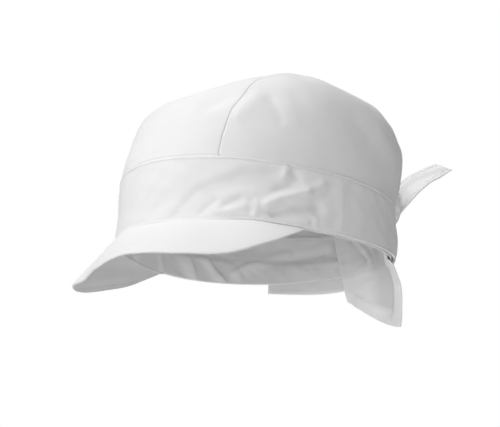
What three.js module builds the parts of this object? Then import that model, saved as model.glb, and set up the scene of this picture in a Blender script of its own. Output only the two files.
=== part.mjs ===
// Bandana cap with a short peak, in millimetres, +Z up, front towards -Y, wearer's left towards +X.
// The origin is the middle of the rim, where the cap sits on a head.
// Every piece is a thin cloth wall: a grid of points on its outer face, and the same grid moved inwards.
import * as THREE from 'three';
import { mergeVertices } from 'three/addons/utils/BufferGeometryUtils.js';

const RAD = Math.PI / 180;

// Cloth thicknesses and the clearance between sewn pieces
const CROWN_WALL = 1.6;
const BAND_WALL = 2.0;
const SWEATBAND_WALL = 1.2;
const PEAK_WALL = 1.6;
const TAIL_WALL = 1.2;
const TIE_WALL = 1.6;
const GAP = 0.35;

// Ovals round the head: half-lengths to the front, the side and the back, and the height at each
const RIM = { front: 99.4, side: 80.6, back: 104.4, zFront: 3.9, zSide: -3.2, zBack: 2.5 };
const BAND_TOP = { front: 97.4, side: 80.8, back: 106.0, zFront: 42.9, zSide: 37.4, zBack: 35.5 };
// Over the forehead the peak pulls the rim down: how deep, the turn at which this ends, and over how much it fades
const RIM_DIP = { depth: 4.2, end: 58, fade: 30 };
const CROWN_ROWS = [
  { name: 'foot', front: 96.6, side: 80.0, back: 103.4, zFront: 43.3, zSide: 37.8, zBack: 35.9 },
  { name: 'low', front: 91.4, side: 83.8, back: 109.9, zFront: 59.1, zSide: 56.5, zBack: 54.1 },
  { name: 'full', front: 85.1, side: 85.7, back: 112.2, zFront: 75.3, zSide: 77.0, zBack: 75.0 },
  { name: 'shoulder', front: 76.5, side: 78.7, back: 105.4, zFront: 89.4, zSide: 96.6, zBack: 93.8 },
  { name: 'upper', front: 60.4, side: 59.6, back: 88.6, zFront: 98.4, zSide: 107.7, zBack: 110.0 },
  { name: 'top', front: 37.3, side: 38.3, back: 58.1, zFront: 108.7, zSide: 117.0, zBack: 119.0 },
  { name: 'apex', front: 0, side: 0, back: 0, zFront: 122.8, zSide: 122.8, zBack: 122.8 },
];
const COLUMNS = ['front', 'side', 'back', 'zFront', 'zSide', 'zBack'];

// Half-width of the centre panel along its length: 0 is the front foot, 90 the top and 180 the back foot
const PANEL_WIDTHS = [
  { angle: 0, half: 52.6 },
  { angle: 15, half: 53.7 },
  { angle: 30, half: 55.9 },
  { angle: 45, half: 59.4 },
  { angle: 60, half: 59.6 },
  { angle: 75, half: 58.6 },
  { angle: 90, half: 56.3 },
  { angle: 120, half: 49.7 },
  { angle: 150, half: 42.6 },
  { angle: 180, half: 35.2 },
];

// Dents and folds: turn is degrees round from the front (the wearer's left is positive), level is the row of
// the crown or the share of the band's height, and push is how far the cloth moves out
const CROWN_FOLDS = [
  { name: 'dent before the seam', turn: 34, level: 2.1, turnSpread: 6, levelSpread: 0.3, push: -1.5 },
  { name: 'ridge at the seam kink', turn: 47, level: 1.9, turnSpread: 6, levelSpread: 0.35, push: 1.1 },
  { name: 'crease on the left', turn: 60, level: 1.7, turnSpread: 4, levelSpread: 0.4, push: -0.9 },
  { name: 'first gather', turn: 74, level: 2.7, turnSpread: 4.5, levelSpread: 0.5, push: 1.1 },
  { name: 'second gather', turn: 83, level: 2.9, turnSpread: 4, levelSpread: 0.5, push: -1.1 },
  { name: 'third gather', turn: 92, level: 3.0, turnSpread: 4.5, levelSpread: 0.5, push: 1.1 },
  { name: 'fourth gather', turn: 112, level: 3.1, turnSpread: 5, levelSpread: 0.5, push: -1.1 },
  { name: 'right hollow', turn: -78, level: 2.6, turnSpread: 10, levelSpread: 0.5, push: -1.4 },
  { name: 'right gather', turn: -100, level: 2.9, turnSpread: 5, levelSpread: 0.5, push: 1.2 },
  { name: 'sag at the back', turn: 178, level: 2.6, turnSpread: 14, levelSpread: 0.5, push: -1.4 },
  { name: 'slack behind the left shoulder', turn: 116, level: 3.1, turnSpread: 15, levelSpread: 0.45, push: -2.2 },
  { name: 'slack at the front of the top', turn: 30, level: 4.0, turnSpread: 17, levelSpread: 0.5, push: -2.0 },
];
const BAND_FOLDS = [
  { name: 'long crescent', turn: 44, level: 0.42, turnSpread: 8, levelSpread: 0.16, push: 0.9 },
  { name: 'hollow over it', turn: 52, level: 0.78, turnSpread: 9, levelSpread: 0.13, push: -0.7 },
  { name: 'upright ridge', turn: 64, level: 0.8, turnSpread: 3.5, levelSpread: 0.25, push: 0.8 },
  { name: 'slanting ridge', turn: 66, level: 0.5, turnSpread: 8, levelSpread: 0.13, push: 1.0 },
  { name: 'hollow under it', turn: 74, level: 0.33, turnSpread: 8, levelSpread: 0.16, push: -0.9 },
  { name: 'fold at the hem', turn: 78, level: 0.12, turnSpread: 4, levelSpread: 0.12, push: 0.8 },
  { name: 'end of the interlining', turn: 96, level: 0.5, turnSpread: 5, levelSpread: 0.6, push: 0.6 },
  { name: 'fullness behind the left ear', turn: 147, level: 0.36, turnSpread: 14, levelSpread: 0.25, push: 1.8 },
];

// The band is one strip. Its inner end lies under the lap at the back, and its outer end is the lap itself.
const BAND_START = -194;
const BAND_END = 232.8;
const LAYER_STEP = 2.4; // how far the inner end of the strip lies inside the outer one
const LAYER_RAMP = { from: -85, to: -125 };
const LAP_DROPS = [
  { turn: 150, drop: 0 },
  { turn: 196, drop: 9.3 },
  { turn: 232.8, drop: 6.4 },
];
const SWEATBAND_HEIGHT = 19;
const SWEATBAND_RAMP = { from: 152, to: 166 }; // the left side, where it steps in over the band's inner end

// Peak: length from the band and droop of the straight line to its edge, round the front
const PEAK_ROWS = [
  { turn: -76, length: 0, droop: 48.3 },
  { turn: -62, length: 18.7, droop: 48.3 },
  { turn: -46, length: 35.0, droop: 42.0 },
  { turn: -30, length: 38.4, droop: 45.1 },
  { turn: -15, length: 38.5, droop: 53.7 },
  { turn: 0, length: 38.6, droop: 48.7 },
  { turn: 15, length: 38.5, droop: 41.5 },
  { turn: 30, length: 38.4, droop: 42.3 },
  { turn: 46, length: 35.0, droop: 47.6 },
  { turn: 62, length: 18.7, droop: 48.8 },
  { turn: 76, length: 0, droop: 48.8 },
];
const PEAK_HOLLOW = -5.3; // degrees: a little flatter than the chord at the band, steeper at the edge
const PEAK_ROOT = 2.2; // the flat strip sewn under the band
const PEAK_TIP = { share: 0.6, length: 20 }; // the peak thins to this share of its wall where it gets short

// Tail of the bandana inside the back: its two edges, the depth of its middle and how round it is, by height
const TAIL_ROWS = [
  { z: 34, far: -22.5, near: 44.0, depth: 96.6, round: 0.0096 },
  { z: 14, far: -19.0, near: 45.6, depth: 96.2, round: 0.0093 },
  { z: 0.6, far: -16.6, near: 49.0, depth: 96.2, round: 0.0084 },
  { z: -2.5, far: -16.3, near: 51.2, depth: 96.9, round: 0.0072 },
  { z: -5, far: -16.1, near: 50.0, depth: 97.3, round: 0.0062 },
  { z: -8, far: -16.0, near: 48.0, depth: 97.8, round: 0.0053 },
  { z: -15, far: -15.6, near: 45.2, depth: 99.3, round: 0.0033 },
  { z: -22, far: -15.4, near: 42.3, depth: 100.4, round: 0.0022 },
  { z: -32, far: -15.2, near: 39.2, depth: 101.4, round: 0.0015 },
  { z: -42, far: -15.0, near: 36.3, depth: 102.4, round: 0.0010 },
];
const TAIL_FAR_END = -16.1;
const TAIL_NEAR_END = -41.7;
const TAIL_CUT_CURVE = 1.55;
const TAIL_FOLD_TOP = { z: 8, fade: 10 }; // the folds fade out upwards towards this height
const TAIL_FOLDS = [
  { name: 'first slanting crease', across: 0.45, z: -4, slant: 1.1, spread: 3.2, push: 1.1 },
  { name: 'second slanting crease', across: 0.68, z: -8, slant: 1.1, spread: 3.0, push: -1.0 },
];

// Tie: straps from the band to the knot, and the two free ends
const STRAP_WIDTH = 19;
const STRAP_LIFT = 1.75; // from the cloth below to the middle of the strap
const STRAP_LEFT_ROUTE = [
  { turn: 157, z: 33.0 },
  { turn: 163, z: 38.5 },
  { turn: 169, z: 44.5 },
  { turn: 175, z: 50.5 },
];
const STRAP_RIGHT_ROUTE = [
  { turn: 211, z: 25.0 },
  { turn: 200, z: 33.0 },
  { turn: 188, z: 43.5 },
  { turn: 176.5, z: 51.5 },
];
const KNOT = { x: 9.5, y: 118.4, z: 53, turn: -6 };
const KNOT_SHAPE = { halfWidth: 11.2, halfDepth: 5.8, halfHeight: 11.5, boxiness: 0.8 };

// Free ends of the tie: the middle and width of the strip, the turn that its flat side faces, and the tilt of
// that side upwards. cut is how much shorter than the other the lower edge is, or below 0 the upper edge
const TAIL_UP = {
  cut: -7.8,
  route: [
    { x: 1.2, y: 125.9, z: 50.9, width: 16.9, face: 5, tilt: -0.01 },
    { x: 6.7, y: 126.3, z: 57.9, width: 19.6, face: 6, tilt: 0.05 },
    { x: 14.7, y: 128.0, z: 65.1, width: 20.3, face: 15, tilt: 0.15 },
    { x: 21.8, y: 132.4, z: 72.1, width: 17.5, face: 28, tilt: 0.26 },
    { x: 27.6, y: 138.6, z: 77.6, width: 13.8, face: 39, tilt: 0.28 },
    { x: 32.8, y: 144.6, z: 81.4, width: 12.8, face: 42, tilt: 0.26 },
    { x: 39.2, y: 152.0, z: 86.2, width: 8.7, face: 42, tilt: 0.26 },
  ],
};
const TAIL_DOWN = {
  cut: 10,
  route: [
    { x: 4.5, y: 119.4, z: 40.6, width: 13.0, face: 174, tilt: 0.05 },
    { x: 1.5, y: 118.0, z: 33.0, width: 16.5, face: 174, tilt: 0.05 },
    { x: -4.5, y: 115.6, z: 18.0, width: 18.0, face: 174, tilt: 0.05 },
    { x: -11.5, y: 113.0, z: 1.0, width: 17.0, face: 174, tilt: 0.05 },
  ],
};

// Grid steps of each piece
const STEPS = {
  centrePanel: { along: 42, across: 8 },
  sidePanel: { along: 32, across: 10 },
  headband: { along: 84, across: 5 },
  sweatband: { along: 64, across: 2 },
  peak: { along: 36, across: 6 },
  neckTail: { along: 18, across: 14 },
  strap: { along: 6, across: 3 },
  tieTail: { along: 10, across: 3 },
};

const mix = (a, b, share) => a + (b - a) * share;
const smooth = (value) => {
  const share = Math.min(Math.max(value, 0), 1);
  return share * share * (3 - 2 * share);
};

// Straight interpolation in a table with a named key column
function lookUp(table, key, at, column) {
  const rising = table[table.length - 1][key] > table[0][key];
  const rows = rising ? table : [...table].reverse();
  if (at <= rows[0][key]) return rows[0][column];
  for (let i = 1; i < rows.length; i += 1) {
    if (at <= rows[i][key]) {
      const share = (at - rows[i - 1][key]) / (rows[i][key] - rows[i - 1][key]);
      return mix(rows[i - 1][column], rows[i][column], share);
    }
  }
  return rows[rows.length - 1][column];
}

// Smooth curve through four values in a row, between the middle two
function throughPoints(before, start, end, after, share) {
  const slope = end - before;
  const bend = 2 * before - 5 * start + 4 * end - after;
  const twist = 3 * start - before - 3 * end + after;
  return 0.5 * (2 * start + slope * share + bend * share ** 2 + twist * share ** 3);
}

// Smooth interpolation in a table with a named key column, with straight ends
function lookUpSmooth(table, key, at, column) {
  const last = table.length - 1;
  const found = table.findIndex((row) => row[key] >= at);
  const next = Math.min(Math.max(found < 0 ? last : found, 1), last);
  const span = table[next][key] - table[next - 1][key];
  const share = Math.min(Math.max((at - table[next - 1][key]) / span, 0), 1);
  const start = table[next - 1][column];
  const end = table[next][column];
  const before = next > 1 ? table[next - 2][column] : 2 * start - end;
  const after = next < last ? table[next + 1][column] : 2 * end - start;
  return throughPoints(before, start, end, after, share);
}

function mixRows(low, high, share) {
  const row = {};
  for (const column of COLUMNS) row[column] = mix(low[column], high[column], share);
  return row;
}

// Point of an oval at a turn from the front, moved outwards by out
function ovalPoint(row, turn, out = 0) {
  const sin = Math.sin(turn * RAD);
  const cos = Math.cos(turn * RAD);
  const length = cos > 0 ? row.front : row.back;
  const endHeight = cos > 0 ? row.zFront : row.zBack;
  const normal = new THREE.Vector2(sin / row.side, -cos / length).normalize();
  const height = row.zSide + (endHeight - row.zSide) * cos * cos;
  return new THREE.Vector3(row.side * sin + normal.x * out, -length * cos + normal.y * out, height);
}

// How far the rim hangs below its oval over the forehead
function rimDip(turn) {
  return RIM_DIP.depth * smooth((RIM_DIP.end - Math.abs(turn)) / RIM_DIP.fade);
}

function rimPoint(turn, out = 0) {
  const point = ovalPoint(RIM, turn, out);
  point.z -= rimDip(turn);
  return point;
}

// How far a fold table moves the cloth at one place
function foldPush(folds, turn, level) {
  let push = 0;
  for (const fold of folds) {
    const away = ((turn - fold.turn + 540) % 360) - 180;
    const share = (away / fold.turnSpread) ** 2 + ((level - fold.level) / fold.levelSpread) ** 2;
    push += fold.push * Math.exp(-share);
  }
  return push;
}

// Closed wall from a grid of outer points and the same grid of inner points; loop joins the first column
// to the last
function wallGeometry(outer, inner, loop = false) {
  const columns = outer.length;
  const rows = outer[0].length;
  const points = [];
  for (const grid of [outer, inner]) {
    for (const column of grid) {
      for (const point of column) points.push(point.x, point.y, point.z);
    }
  }
  const at = (side, column, row) => side * columns * rows + (column % columns) * rows + row;
  const triangles = [];
  const quad = (a, b, c, d) => triangles.push(a, b, c, a, c, d);
  const spans = loop ? columns : columns - 1;
  for (let i = 0; i < spans; i += 1) {
    for (let j = 0; j < rows - 1; j += 1) {
      quad(at(0, i, j), at(0, i + 1, j), at(0, i + 1, j + 1), at(0, i, j + 1));
      quad(at(1, i, j), at(1, i, j + 1), at(1, i + 1, j + 1), at(1, i + 1, j));
    }
    quad(at(0, i, 0), at(1, i, 0), at(1, i + 1, 0), at(0, i + 1, 0));
    quad(at(0, i + 1, rows - 1), at(1, i + 1, rows - 1), at(1, i, rows - 1), at(0, i, rows - 1));
  }
  if (!loop) {
    for (let j = 0; j < rows - 1; j += 1) {
      quad(at(0, 0, j + 1), at(1, 0, j + 1), at(1, 0, j), at(0, 0, j));
      const end = columns - 1;
      quad(at(0, end, j), at(1, end, j), at(1, end, j + 1), at(0, end, j + 1));
    }
  }
  const loose = new THREE.BufferGeometry();
  loose.setAttribute('position', new THREE.Float32BufferAttribute(points, 3));
  loose.setIndex(triangles);
  return withoutFlatTriangles(mergeVertices(loose, 1e-3));
}

// Where a grid narrows to a point some triangles have no area, and they are left out
function withoutFlatTriangles(geometry) {
  const index = geometry.getIndex().array;
  const kept = [];
  for (let i = 0; i < index.length; i += 3) {
    const [a, b, c] = [index[i], index[i + 1], index[i + 2]];
    if (a !== b && b !== c && c !== a) kept.push(a, b, c);
  }
  geometry.setIndex(kept);
  geometry.computeVertexNormals();
  return geometry;
}

// Faces point out of the solid: a wall whose grid runs the other way is turned round
function facingOut(geometry) {
  const position = geometry.getAttribute('position');
  const index = geometry.getIndex().array;
  const corner = [new THREE.Vector3(), new THREE.Vector3(), new THREE.Vector3()];
  let volume = 0;
  for (let i = 0; i < index.length; i += 3) {
    for (let k = 0; k < 3; k += 1) corner[k].fromBufferAttribute(position, index[i + k]);
    volume += corner[0].dot(corner[1].clone().cross(corner[2]));
  }
  if (volume < 0) {
    for (let i = 0; i < index.length; i += 3) {
      [index[i + 1], index[i + 2]] = [index[i + 2], index[i + 1]];
    }
    geometry.computeVertexNormals();
  }
  return geometry;
}

// Crown. A direction on a unit dome stands for a place on the crown, so that panels can be laid out on it
const APEX_LEVEL = CROWN_ROWS.length - 1;
const STRAIGHT_FOOT = 0.6; // up to this level the folds and the slope of the wall fade in
const CROWN_CORE_HEIGHT = 40; // a point well inside the crown
const NORMAL_STEP = 0.012;

function crownRow(level) {
  const base = Math.min(Math.floor(level), APEX_LEVEL - 1);
  const row = {};
  for (const column of COLUMNS) {
    const value = (i) => CROWN_ROWS[i][column];
    const sign = column.startsWith('z') ? 1 : -1;
    const before = base > 0 ? value(base - 1) : 2 * value(0) - value(1);
    const after = base < APEX_LEVEL - 1 ? value(base + 2) : sign * value(APEX_LEVEL - 1);
    row[column] = throughPoints(before, value(base), value(base + 1), after, level - base);
  }
  return row;
}

function crownPlace(direction) {
  const height = Math.min(Math.max(direction.z, 0), 1);
  const turn = Math.atan2(direction.x, -direction.y) / RAD;
  return { turn, level: (Math.asin(height) / (Math.PI / 2)) * APEX_LEVEL };
}

function plainCrownPoint(direction) {
  const place = crownPlace(direction);
  return ovalPoint(crownRow(place.level), place.turn);
}

function crownNormal(direction) {
  const step = NORMAL_STEP;
  const sideways = new THREE.Vector3(-direction.y, direction.x, 0);
  if (sideways.length() < 1e-4) sideways.set(1, 0, 0);
  sideways.normalize();
  const upwards = direction.clone().cross(sideways).negate();
  if (upwards.z < 0) upwards.negate();
  const middle = direction.clone();
  if (middle.z < step) middle.addScaledVector(upwards, step).normalize();
  const move = (axis, amount) => plainCrownPoint(middle.clone().addScaledVector(axis, amount).normalize());
  const around = move(sideways, step).sub(move(sideways, -step));
  const up = move(upwards, step).sub(move(upwards, -step));
  const normal = around.cross(up).normalize();
  const core = new THREE.Vector3(0, 0, CROWN_CORE_HEIGHT);
  if (normal.dot(plainCrownPoint(middle).sub(core)) < 0) normal.negate();
  // at the foot the wall stands straight on the band
  normal.z *= smooth(crownPlace(direction).level / STRAIGHT_FOOT);
  return normal.normalize();
}

function crownPoint(direction, normal) {
  const place = crownPlace(direction);
  const fade = smooth(place.level / STRAIGHT_FOOT);
  const push = fade * foldPush(CROWN_FOLDS, place.turn, place.level);
  return plainCrownPoint(direction).addScaledVector(normal, push);
}

// Direction at an angle along the centre panel (0 front foot, 180 back foot) and an angle across it
function panelDirection(along, across) {
  const sin = Math.sin(across);
  const cos = Math.cos(across);
  return new THREE.Vector3(sin, -cos * Math.cos(along * RAD), Math.max(cos * Math.sin(along * RAD), 0));
}

// Angle across the centre panel at which the crown is as wide as the panel
function seamAcross(along, extra) {
  const width = lookUpSmooth(PANEL_WIDTHS, 'angle', along, 'half') + extra;
  let low = 0;
  let high = Math.PI / 2;
  for (let i = 0; i < 40; i += 1) {
    const middle = (low + high) / 2;
    if (plainCrownPoint(panelDirection(along, middle)).x > width) high = middle;
    else low = middle;
  }
  return (low + high) / 2;
}

function crownWall(directions) {
  const normals = directions.map((column) => column.map(crownNormal));
  const outer = directions.map((column, i) => column.map((d, j) => crownPoint(d, normals[i][j])));
  const inwards = (point, normal) => point.clone().addScaledVector(normal, -CROWN_WALL);
  const inner = outer.map((column, i) => column.map((point, j) => inwards(point, normals[i][j])));
  return facingOut(wallGeometry(outer, inner));
}

function centrePanel() {
  const { along, across } = STEPS.centrePanel;
  const directions = [];
  for (let i = 0; i <= along; i += 1) {
    const angle = (180 * i) / along;
    const edge = seamAcross(angle, 0);
    const column = [];
    for (let j = 0; j <= across; j += 1) column.push(panelDirection(angle, edge * ((2 * j) / across - 1)));
    directions.push(column);
  }
  return crownWall(directions);
}

function sidePanel(side) {
  const { along, across } = STEPS.sidePanel;
  const seamAt = (angle) => panelDirection(angle, seamAcross(angle, GAP));
  const footTurn = (angle) => crownPlace(seamAt(angle)).turn;
  const [frontTurn, backTurn] = [footTurn(0), footTurn(180)];
  const directions = [];
  for (let i = 0; i <= along; i += 1) {
    const share = i / along;
    const seam = seamAt(180 * share);
    const turn = mix(frontTurn, backTurn, share) * RAD;
    const foot = new THREE.Vector3(Math.sin(turn), -Math.cos(turn), 0);
    const angle = foot.angleTo(seam);
    const column = [];
    for (let j = 0; j <= across; j += 1) {
      const up = j / across;
      const direction = new THREE.Vector3();
      if (angle < 1e-6) direction.copy(foot);
      else {
        direction.addScaledVector(foot, Math.sin(angle * (1 - up)) / Math.sin(angle));
        direction.addScaledVector(seam, Math.sin(angle * up) / Math.sin(angle));
      }
      direction.x *= side;
      column.push(direction);
    }
    directions.push(column);
  }
  return crownWall(directions);
}

// Band, with its inner end a layer further in and its outer end a lap that sinks below the rim
function bandOut(turn) {
  return -LAYER_STEP * smooth((LAYER_RAMP.from - turn) / (LAYER_RAMP.from - LAYER_RAMP.to));
}

function bandPoint(turn, level, out) {
  const folds = foldPush(BAND_FOLDS, turn, level);
  const point = ovalPoint(mixRows(RIM, BAND_TOP, level), turn, bandOut(turn) + out + folds);
  point.z -= rimDip(turn) * (1 - level);
  point.z -= lookUpSmooth(LAP_DROPS, 'turn', Math.max(turn, LAP_DROPS[0].turn), 'drop');
  return point;
}

function headband() {
  const { along, across } = STEPS.headband;
  const outer = [];
  const inner = [];
  for (let i = 0; i <= along; i += 1) {
    const turn = mix(BAND_START, BAND_END, i / along);
    const levels = Array.from({ length: across + 1 }, (_, j) => j / across);
    outer.push(levels.map((level) => bandPoint(turn, level, 0)));
    inner.push(levels.map((level) => bandPoint(turn, level, -BAND_WALL)));
  }
  return facingOut(wallGeometry(outer, inner));
}

// Inner face of the band at a turn, as a distance from its outer oval
function bandInnerFace(turn) {
  const left = smooth((turn - SWEATBAND_RAMP.from) / (SWEATBAND_RAMP.to - SWEATBAND_RAMP.from));
  const right = smooth((LAYER_RAMP.from - turn) / (LAYER_RAMP.from - LAYER_RAMP.to));
  return -BAND_WALL - LAYER_STEP * Math.max(left, right);
}

function sweatband() {
  const { along, across } = STEPS.sweatband;
  const outer = [];
  const inner = [];
  for (let i = 0; i < along; i += 1) {
    const turn = -180 + (360 * i) / along;
    const face = bandInnerFace(turn) - 3 * GAP;
    const column = [];
    const innerColumn = [];
    for (let j = 0; j <= across; j += 1) {
      const rise = (SWEATBAND_HEIGHT * j) / across;
      const height = new THREE.Vector3(0, 0, rise);
      column.push(rimPoint(turn, face).add(height));
      innerColumn.push(rimPoint(turn, face - SWEATBAND_WALL).add(height));
    }
    outer.push(column);
    inner.push(innerColumn);
  }
  return facingOut(wallGeometry(outer, inner, true));
}

// Peak: a strip sewn flat under the band, then a hollow curve down to the edge
function peakPoint(turn, share, down) {
  const length = Math.max(lookUpSmooth(PEAK_ROWS, 'turn', turn, 'length'), 0);
  const droop = lookUpSmooth(PEAK_ROWS, 'turn', turn, 'droop');
  const angle = (droop + PEAK_HOLLOW * (1 - share)) * RAD;
  const run = share * length;
  const root = rimPoint(turn, run * Math.cos(angle));
  root.z -= run * Math.sin(angle) + GAP + down;
  return root;
}

function peak() {
  const { along, across } = STEPS.peak;
  const ends = PEAK_ROWS[PEAK_ROWS.length - 1].turn;
  const outer = [];
  const inner = [];
  for (let i = 0; i <= along; i += 1) {
    const turn = mix(-ends, ends, i / along);
    const underBand = rimPoint(turn, -PEAK_ROOT).sub(new THREE.Vector3(0, 0, GAP));
    const full = smooth(lookUp(PEAK_ROWS, 'turn', turn, 'length') / PEAK_TIP.length);
    const thickness = PEAK_WALL * mix(PEAK_TIP.share, 1, full);
    const column = [underBand];
    const innerColumn = [underBand.clone().sub(new THREE.Vector3(0, 0, thickness))];
    for (let j = 0; j <= across; j += 1) {
      column.push(peakPoint(turn, j / across, 0));
      innerColumn.push(peakPoint(turn, j / across, thickness));
    }
    outer.push(column);
    inner.push(innerColumn);
  }
  return facingOut(wallGeometry(outer, inner));
}

// Tail of the bandana: a hemmed sheet whose lower edge is cut on a slant
function neckTail() {
  const { along, across } = STEPS.neckTail;
  const rows = [...TAIL_ROWS].reverse();
  const outer = [];
  const inner = [];
  for (let i = 0; i <= across; i += 1) {
    const share = i / across;
    const end = mix(TAIL_FAR_END, TAIL_NEAR_END, 1 - (1 - share) ** TAIL_CUT_CURVE);
    const column = [];
    const innerColumn = [];
    for (let j = 0; j <= along; j += 1) {
      const z = mix(end, TAIL_ROWS[0].z, j / along);
      const x = mix(lookUpSmooth(rows, 'z', z, 'far'), lookUpSmooth(rows, 'z', z, 'near'), share);
      const round = lookUpSmooth(rows, 'z', z, 'round');
      let y = lookUpSmooth(rows, 'z', z, 'depth') - round * x * x;
      for (const fold of TAIL_FOLDS) {
        const away = x - mix(rows[0].far, rows[0].near, fold.across) + (z - fold.z) * fold.slant;
        const fade = smooth((TAIL_FOLD_TOP.z - z) / TAIL_FOLD_TOP.fade);
        y += fold.push * fade * Math.exp(-((away / fold.spread) ** 2));
      }
      column.push(new THREE.Vector3(x, y, z));
      innerColumn.push(new THREE.Vector3(x, y - TAIL_WALL, z));
    }
    outer.push(column);
    inner.push(innerColumn);
  }
  return facingOut(wallGeometry(outer, inner));
}

// Straps lie on the outside of the band and the foot of the crown, bridging the groove between them
function wrapPoint(turn, z, out) {
  const rows = [RIM, BAND_TOP, CROWN_ROWS[1], CROWN_ROWS[2]];
  const heights = rows.map((row) => ovalPoint(row, turn).z);
  const found = heights.findIndex((height) => height >= z);
  const next = Math.min(Math.max(found < 0 ? rows.length - 1 : found, 1), rows.length - 1);
  const share = (z - heights[next - 1]) / (heights[next] - heights[next - 1]);
  const point = ovalPoint(mixRows(rows[next - 1], rows[next], share), turn, out);
  point.z = z;
  return point;
}

function strap(route) {
  const { along, across } = STEPS.strap;
  const outer = [];
  const inner = [];
  for (let i = 0; i <= along; i += 1) {
    const share = (i / along) * (route.length - 1);
    const base = Math.min(Math.floor(share), route.length - 2);
    const turn = mix(route[base].turn, route[base + 1].turn, share - base);
    const middle = mix(route[base].z, route[base + 1].z, share - base);
    const column = [];
    const innerColumn = [];
    for (let j = 0; j <= across; j += 1) {
      const z = middle + STRAP_WIDTH * (j / across - 0.5);
      column.push(wrapPoint(turn, z, STRAP_LIFT + TIE_WALL / 2));
      innerColumn.push(wrapPoint(turn, z, STRAP_LIFT - TIE_WALL / 2));
    }
    outer.push(column);
    inner.push(innerColumn);
  }
  return facingOut(wallGeometry(outer, inner));
}

function knot() {
  const geometry = new THREE.SphereGeometry(1, 20, 12);
  geometry.deleteAttribute('normal');
  geometry.deleteAttribute('uv');
  const position = geometry.getAttribute('position');
  const boxy = (value) => Math.sign(value) * Math.abs(value) ** KNOT_SHAPE.boxiness;
  for (let i = 0; i < position.count; i += 1) {
    const x = boxy(position.getX(i)) * KNOT_SHAPE.halfWidth;
    const y = boxy(position.getY(i)) * KNOT_SHAPE.halfDepth;
    const z = boxy(position.getZ(i)) * KNOT_SHAPE.halfHeight;
    position.setXYZ(i, x, y, z);
  }
  return withoutFlatTriangles(mergeVertices(geometry, 1e-3));
}

// Free end of a tie along a curve through its route, with a slanting cut at the end
function tieTail({ route, cut }) {
  const { along, across } = STEPS.tieTail;
  const curve = new THREE.CatmullRomCurve3(route.map((row) => new THREE.Vector3(row.x, row.y, row.z)));
  const length = curve.getLength();
  const outer = [];
  const inner = [];
  for (let i = 0; i <= along; i += 1) {
    const outerColumn = [];
    const innerColumn = [];
    for (let j = 0; j <= across; j += 1) {
      const side = j / across;
      const shorter = cut > 0 ? cut * side : -cut * (1 - side);
      const reach = (i / along) * (1 - shorter / length);
      const at = reach * (route.length - 1);
      const base = Math.min(Math.floor(at), route.length - 2);
      const between = (column) => mix(route[base][column], route[base + 1][column], at - base);
      const width = between('width');
      const face = between('face') * RAD;
      const facing = new THREE.Vector3(Math.sin(face), -Math.cos(face), between('tilt'));
      const tangent = curve.getTangent(reach);
      const sideways = facing.cross(tangent).normalize();
      const normal = tangent.clone().cross(sideways).normalize();
      const middle = curve.getPoint(reach).addScaledVector(sideways, width * (0.5 - side));
      outerColumn.push(middle.clone().addScaledVector(normal, TIE_WALL / 2));
      innerColumn.push(middle.clone().addScaledVector(normal, -TIE_WALL / 2));
    }
    outer.push(outerColumn);
    inner.push(innerColumn);
  }
  return facingOut(wallGeometry(outer, inner));
}

// White cotton cloth, a shade apart on each piece
const cloth = (color) => new THREE.MeshStandardMaterial({ color, roughness: 0.9, metalness: 0 });

const cap = new THREE.Group();

function addPiece(name, geometry, color) {
  const piece = new THREE.Mesh(geometry, cloth(color));
  piece.name = name;
  cap.add(piece);
  return piece;
}

addPiece('crown_centre_panel', centrePanel(), '#f4f4f3');
addPiece('crown_side_panel_left', sidePanel(1), '#f1f1f0');
addPiece('crown_side_panel_right', sidePanel(-1), '#f1f1f0');
addPiece('headband', headband(), '#f5f5f4');
addPiece('sweatband', sweatband(), '#ececea');
addPiece('peak', peak(), '#f4f4f3');
addPiece('neck_tail', neckTail(), '#f2f2f1');
addPiece('tie_strap_left', strap(STRAP_LEFT_ROUTE), '#f3f3f2');
addPiece('tie_strap_right', strap(STRAP_RIGHT_ROUTE), '#f3f3f2');
const knotPiece = addPiece('tie_knot', knot(), '#f3f3f2');
knotPiece.position.set(KNOT.x, KNOT.y, KNOT.z);
knotPiece.rotation.z = KNOT.turn * RAD;
addPiece('tie_tail_up', tieTail(TAIL_UP), '#f4f4f3');
addPiece('tie_tail_down', tieTail(TAIL_DOWN), '#f3f3f2');

export default cap;
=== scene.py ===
# %% [markdown]
# # A white bandana cap
#
# This lesson builds a soft cotton cap with a short peak, the kind that is worn in kitchens and bakeries.
# It is sewn from a few flat pieces of cloth: a long strip over the top of the head, two rounded side
# panels, a band round the head, a short peak, and a tail and two ties at the back. Every piece below is
# one sheet of cloth with its own thickness, its own hems and its own folds.

# %% The fixed frame
import math

import bmesh
import bpy
import numpy as np
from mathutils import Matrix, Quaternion, Vector


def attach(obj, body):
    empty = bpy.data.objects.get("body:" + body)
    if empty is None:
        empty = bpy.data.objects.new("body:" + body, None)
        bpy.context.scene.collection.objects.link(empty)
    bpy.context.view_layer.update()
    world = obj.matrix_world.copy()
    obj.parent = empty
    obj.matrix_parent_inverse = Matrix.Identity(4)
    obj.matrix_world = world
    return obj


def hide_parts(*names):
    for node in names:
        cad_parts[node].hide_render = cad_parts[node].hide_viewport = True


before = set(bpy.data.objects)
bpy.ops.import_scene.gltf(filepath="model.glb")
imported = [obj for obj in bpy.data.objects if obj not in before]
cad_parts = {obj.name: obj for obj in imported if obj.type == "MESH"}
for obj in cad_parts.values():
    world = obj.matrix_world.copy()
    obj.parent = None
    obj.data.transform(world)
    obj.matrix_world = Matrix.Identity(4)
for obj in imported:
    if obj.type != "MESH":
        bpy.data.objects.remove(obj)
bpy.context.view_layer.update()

print("pieces in the frame:", len(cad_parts))

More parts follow.
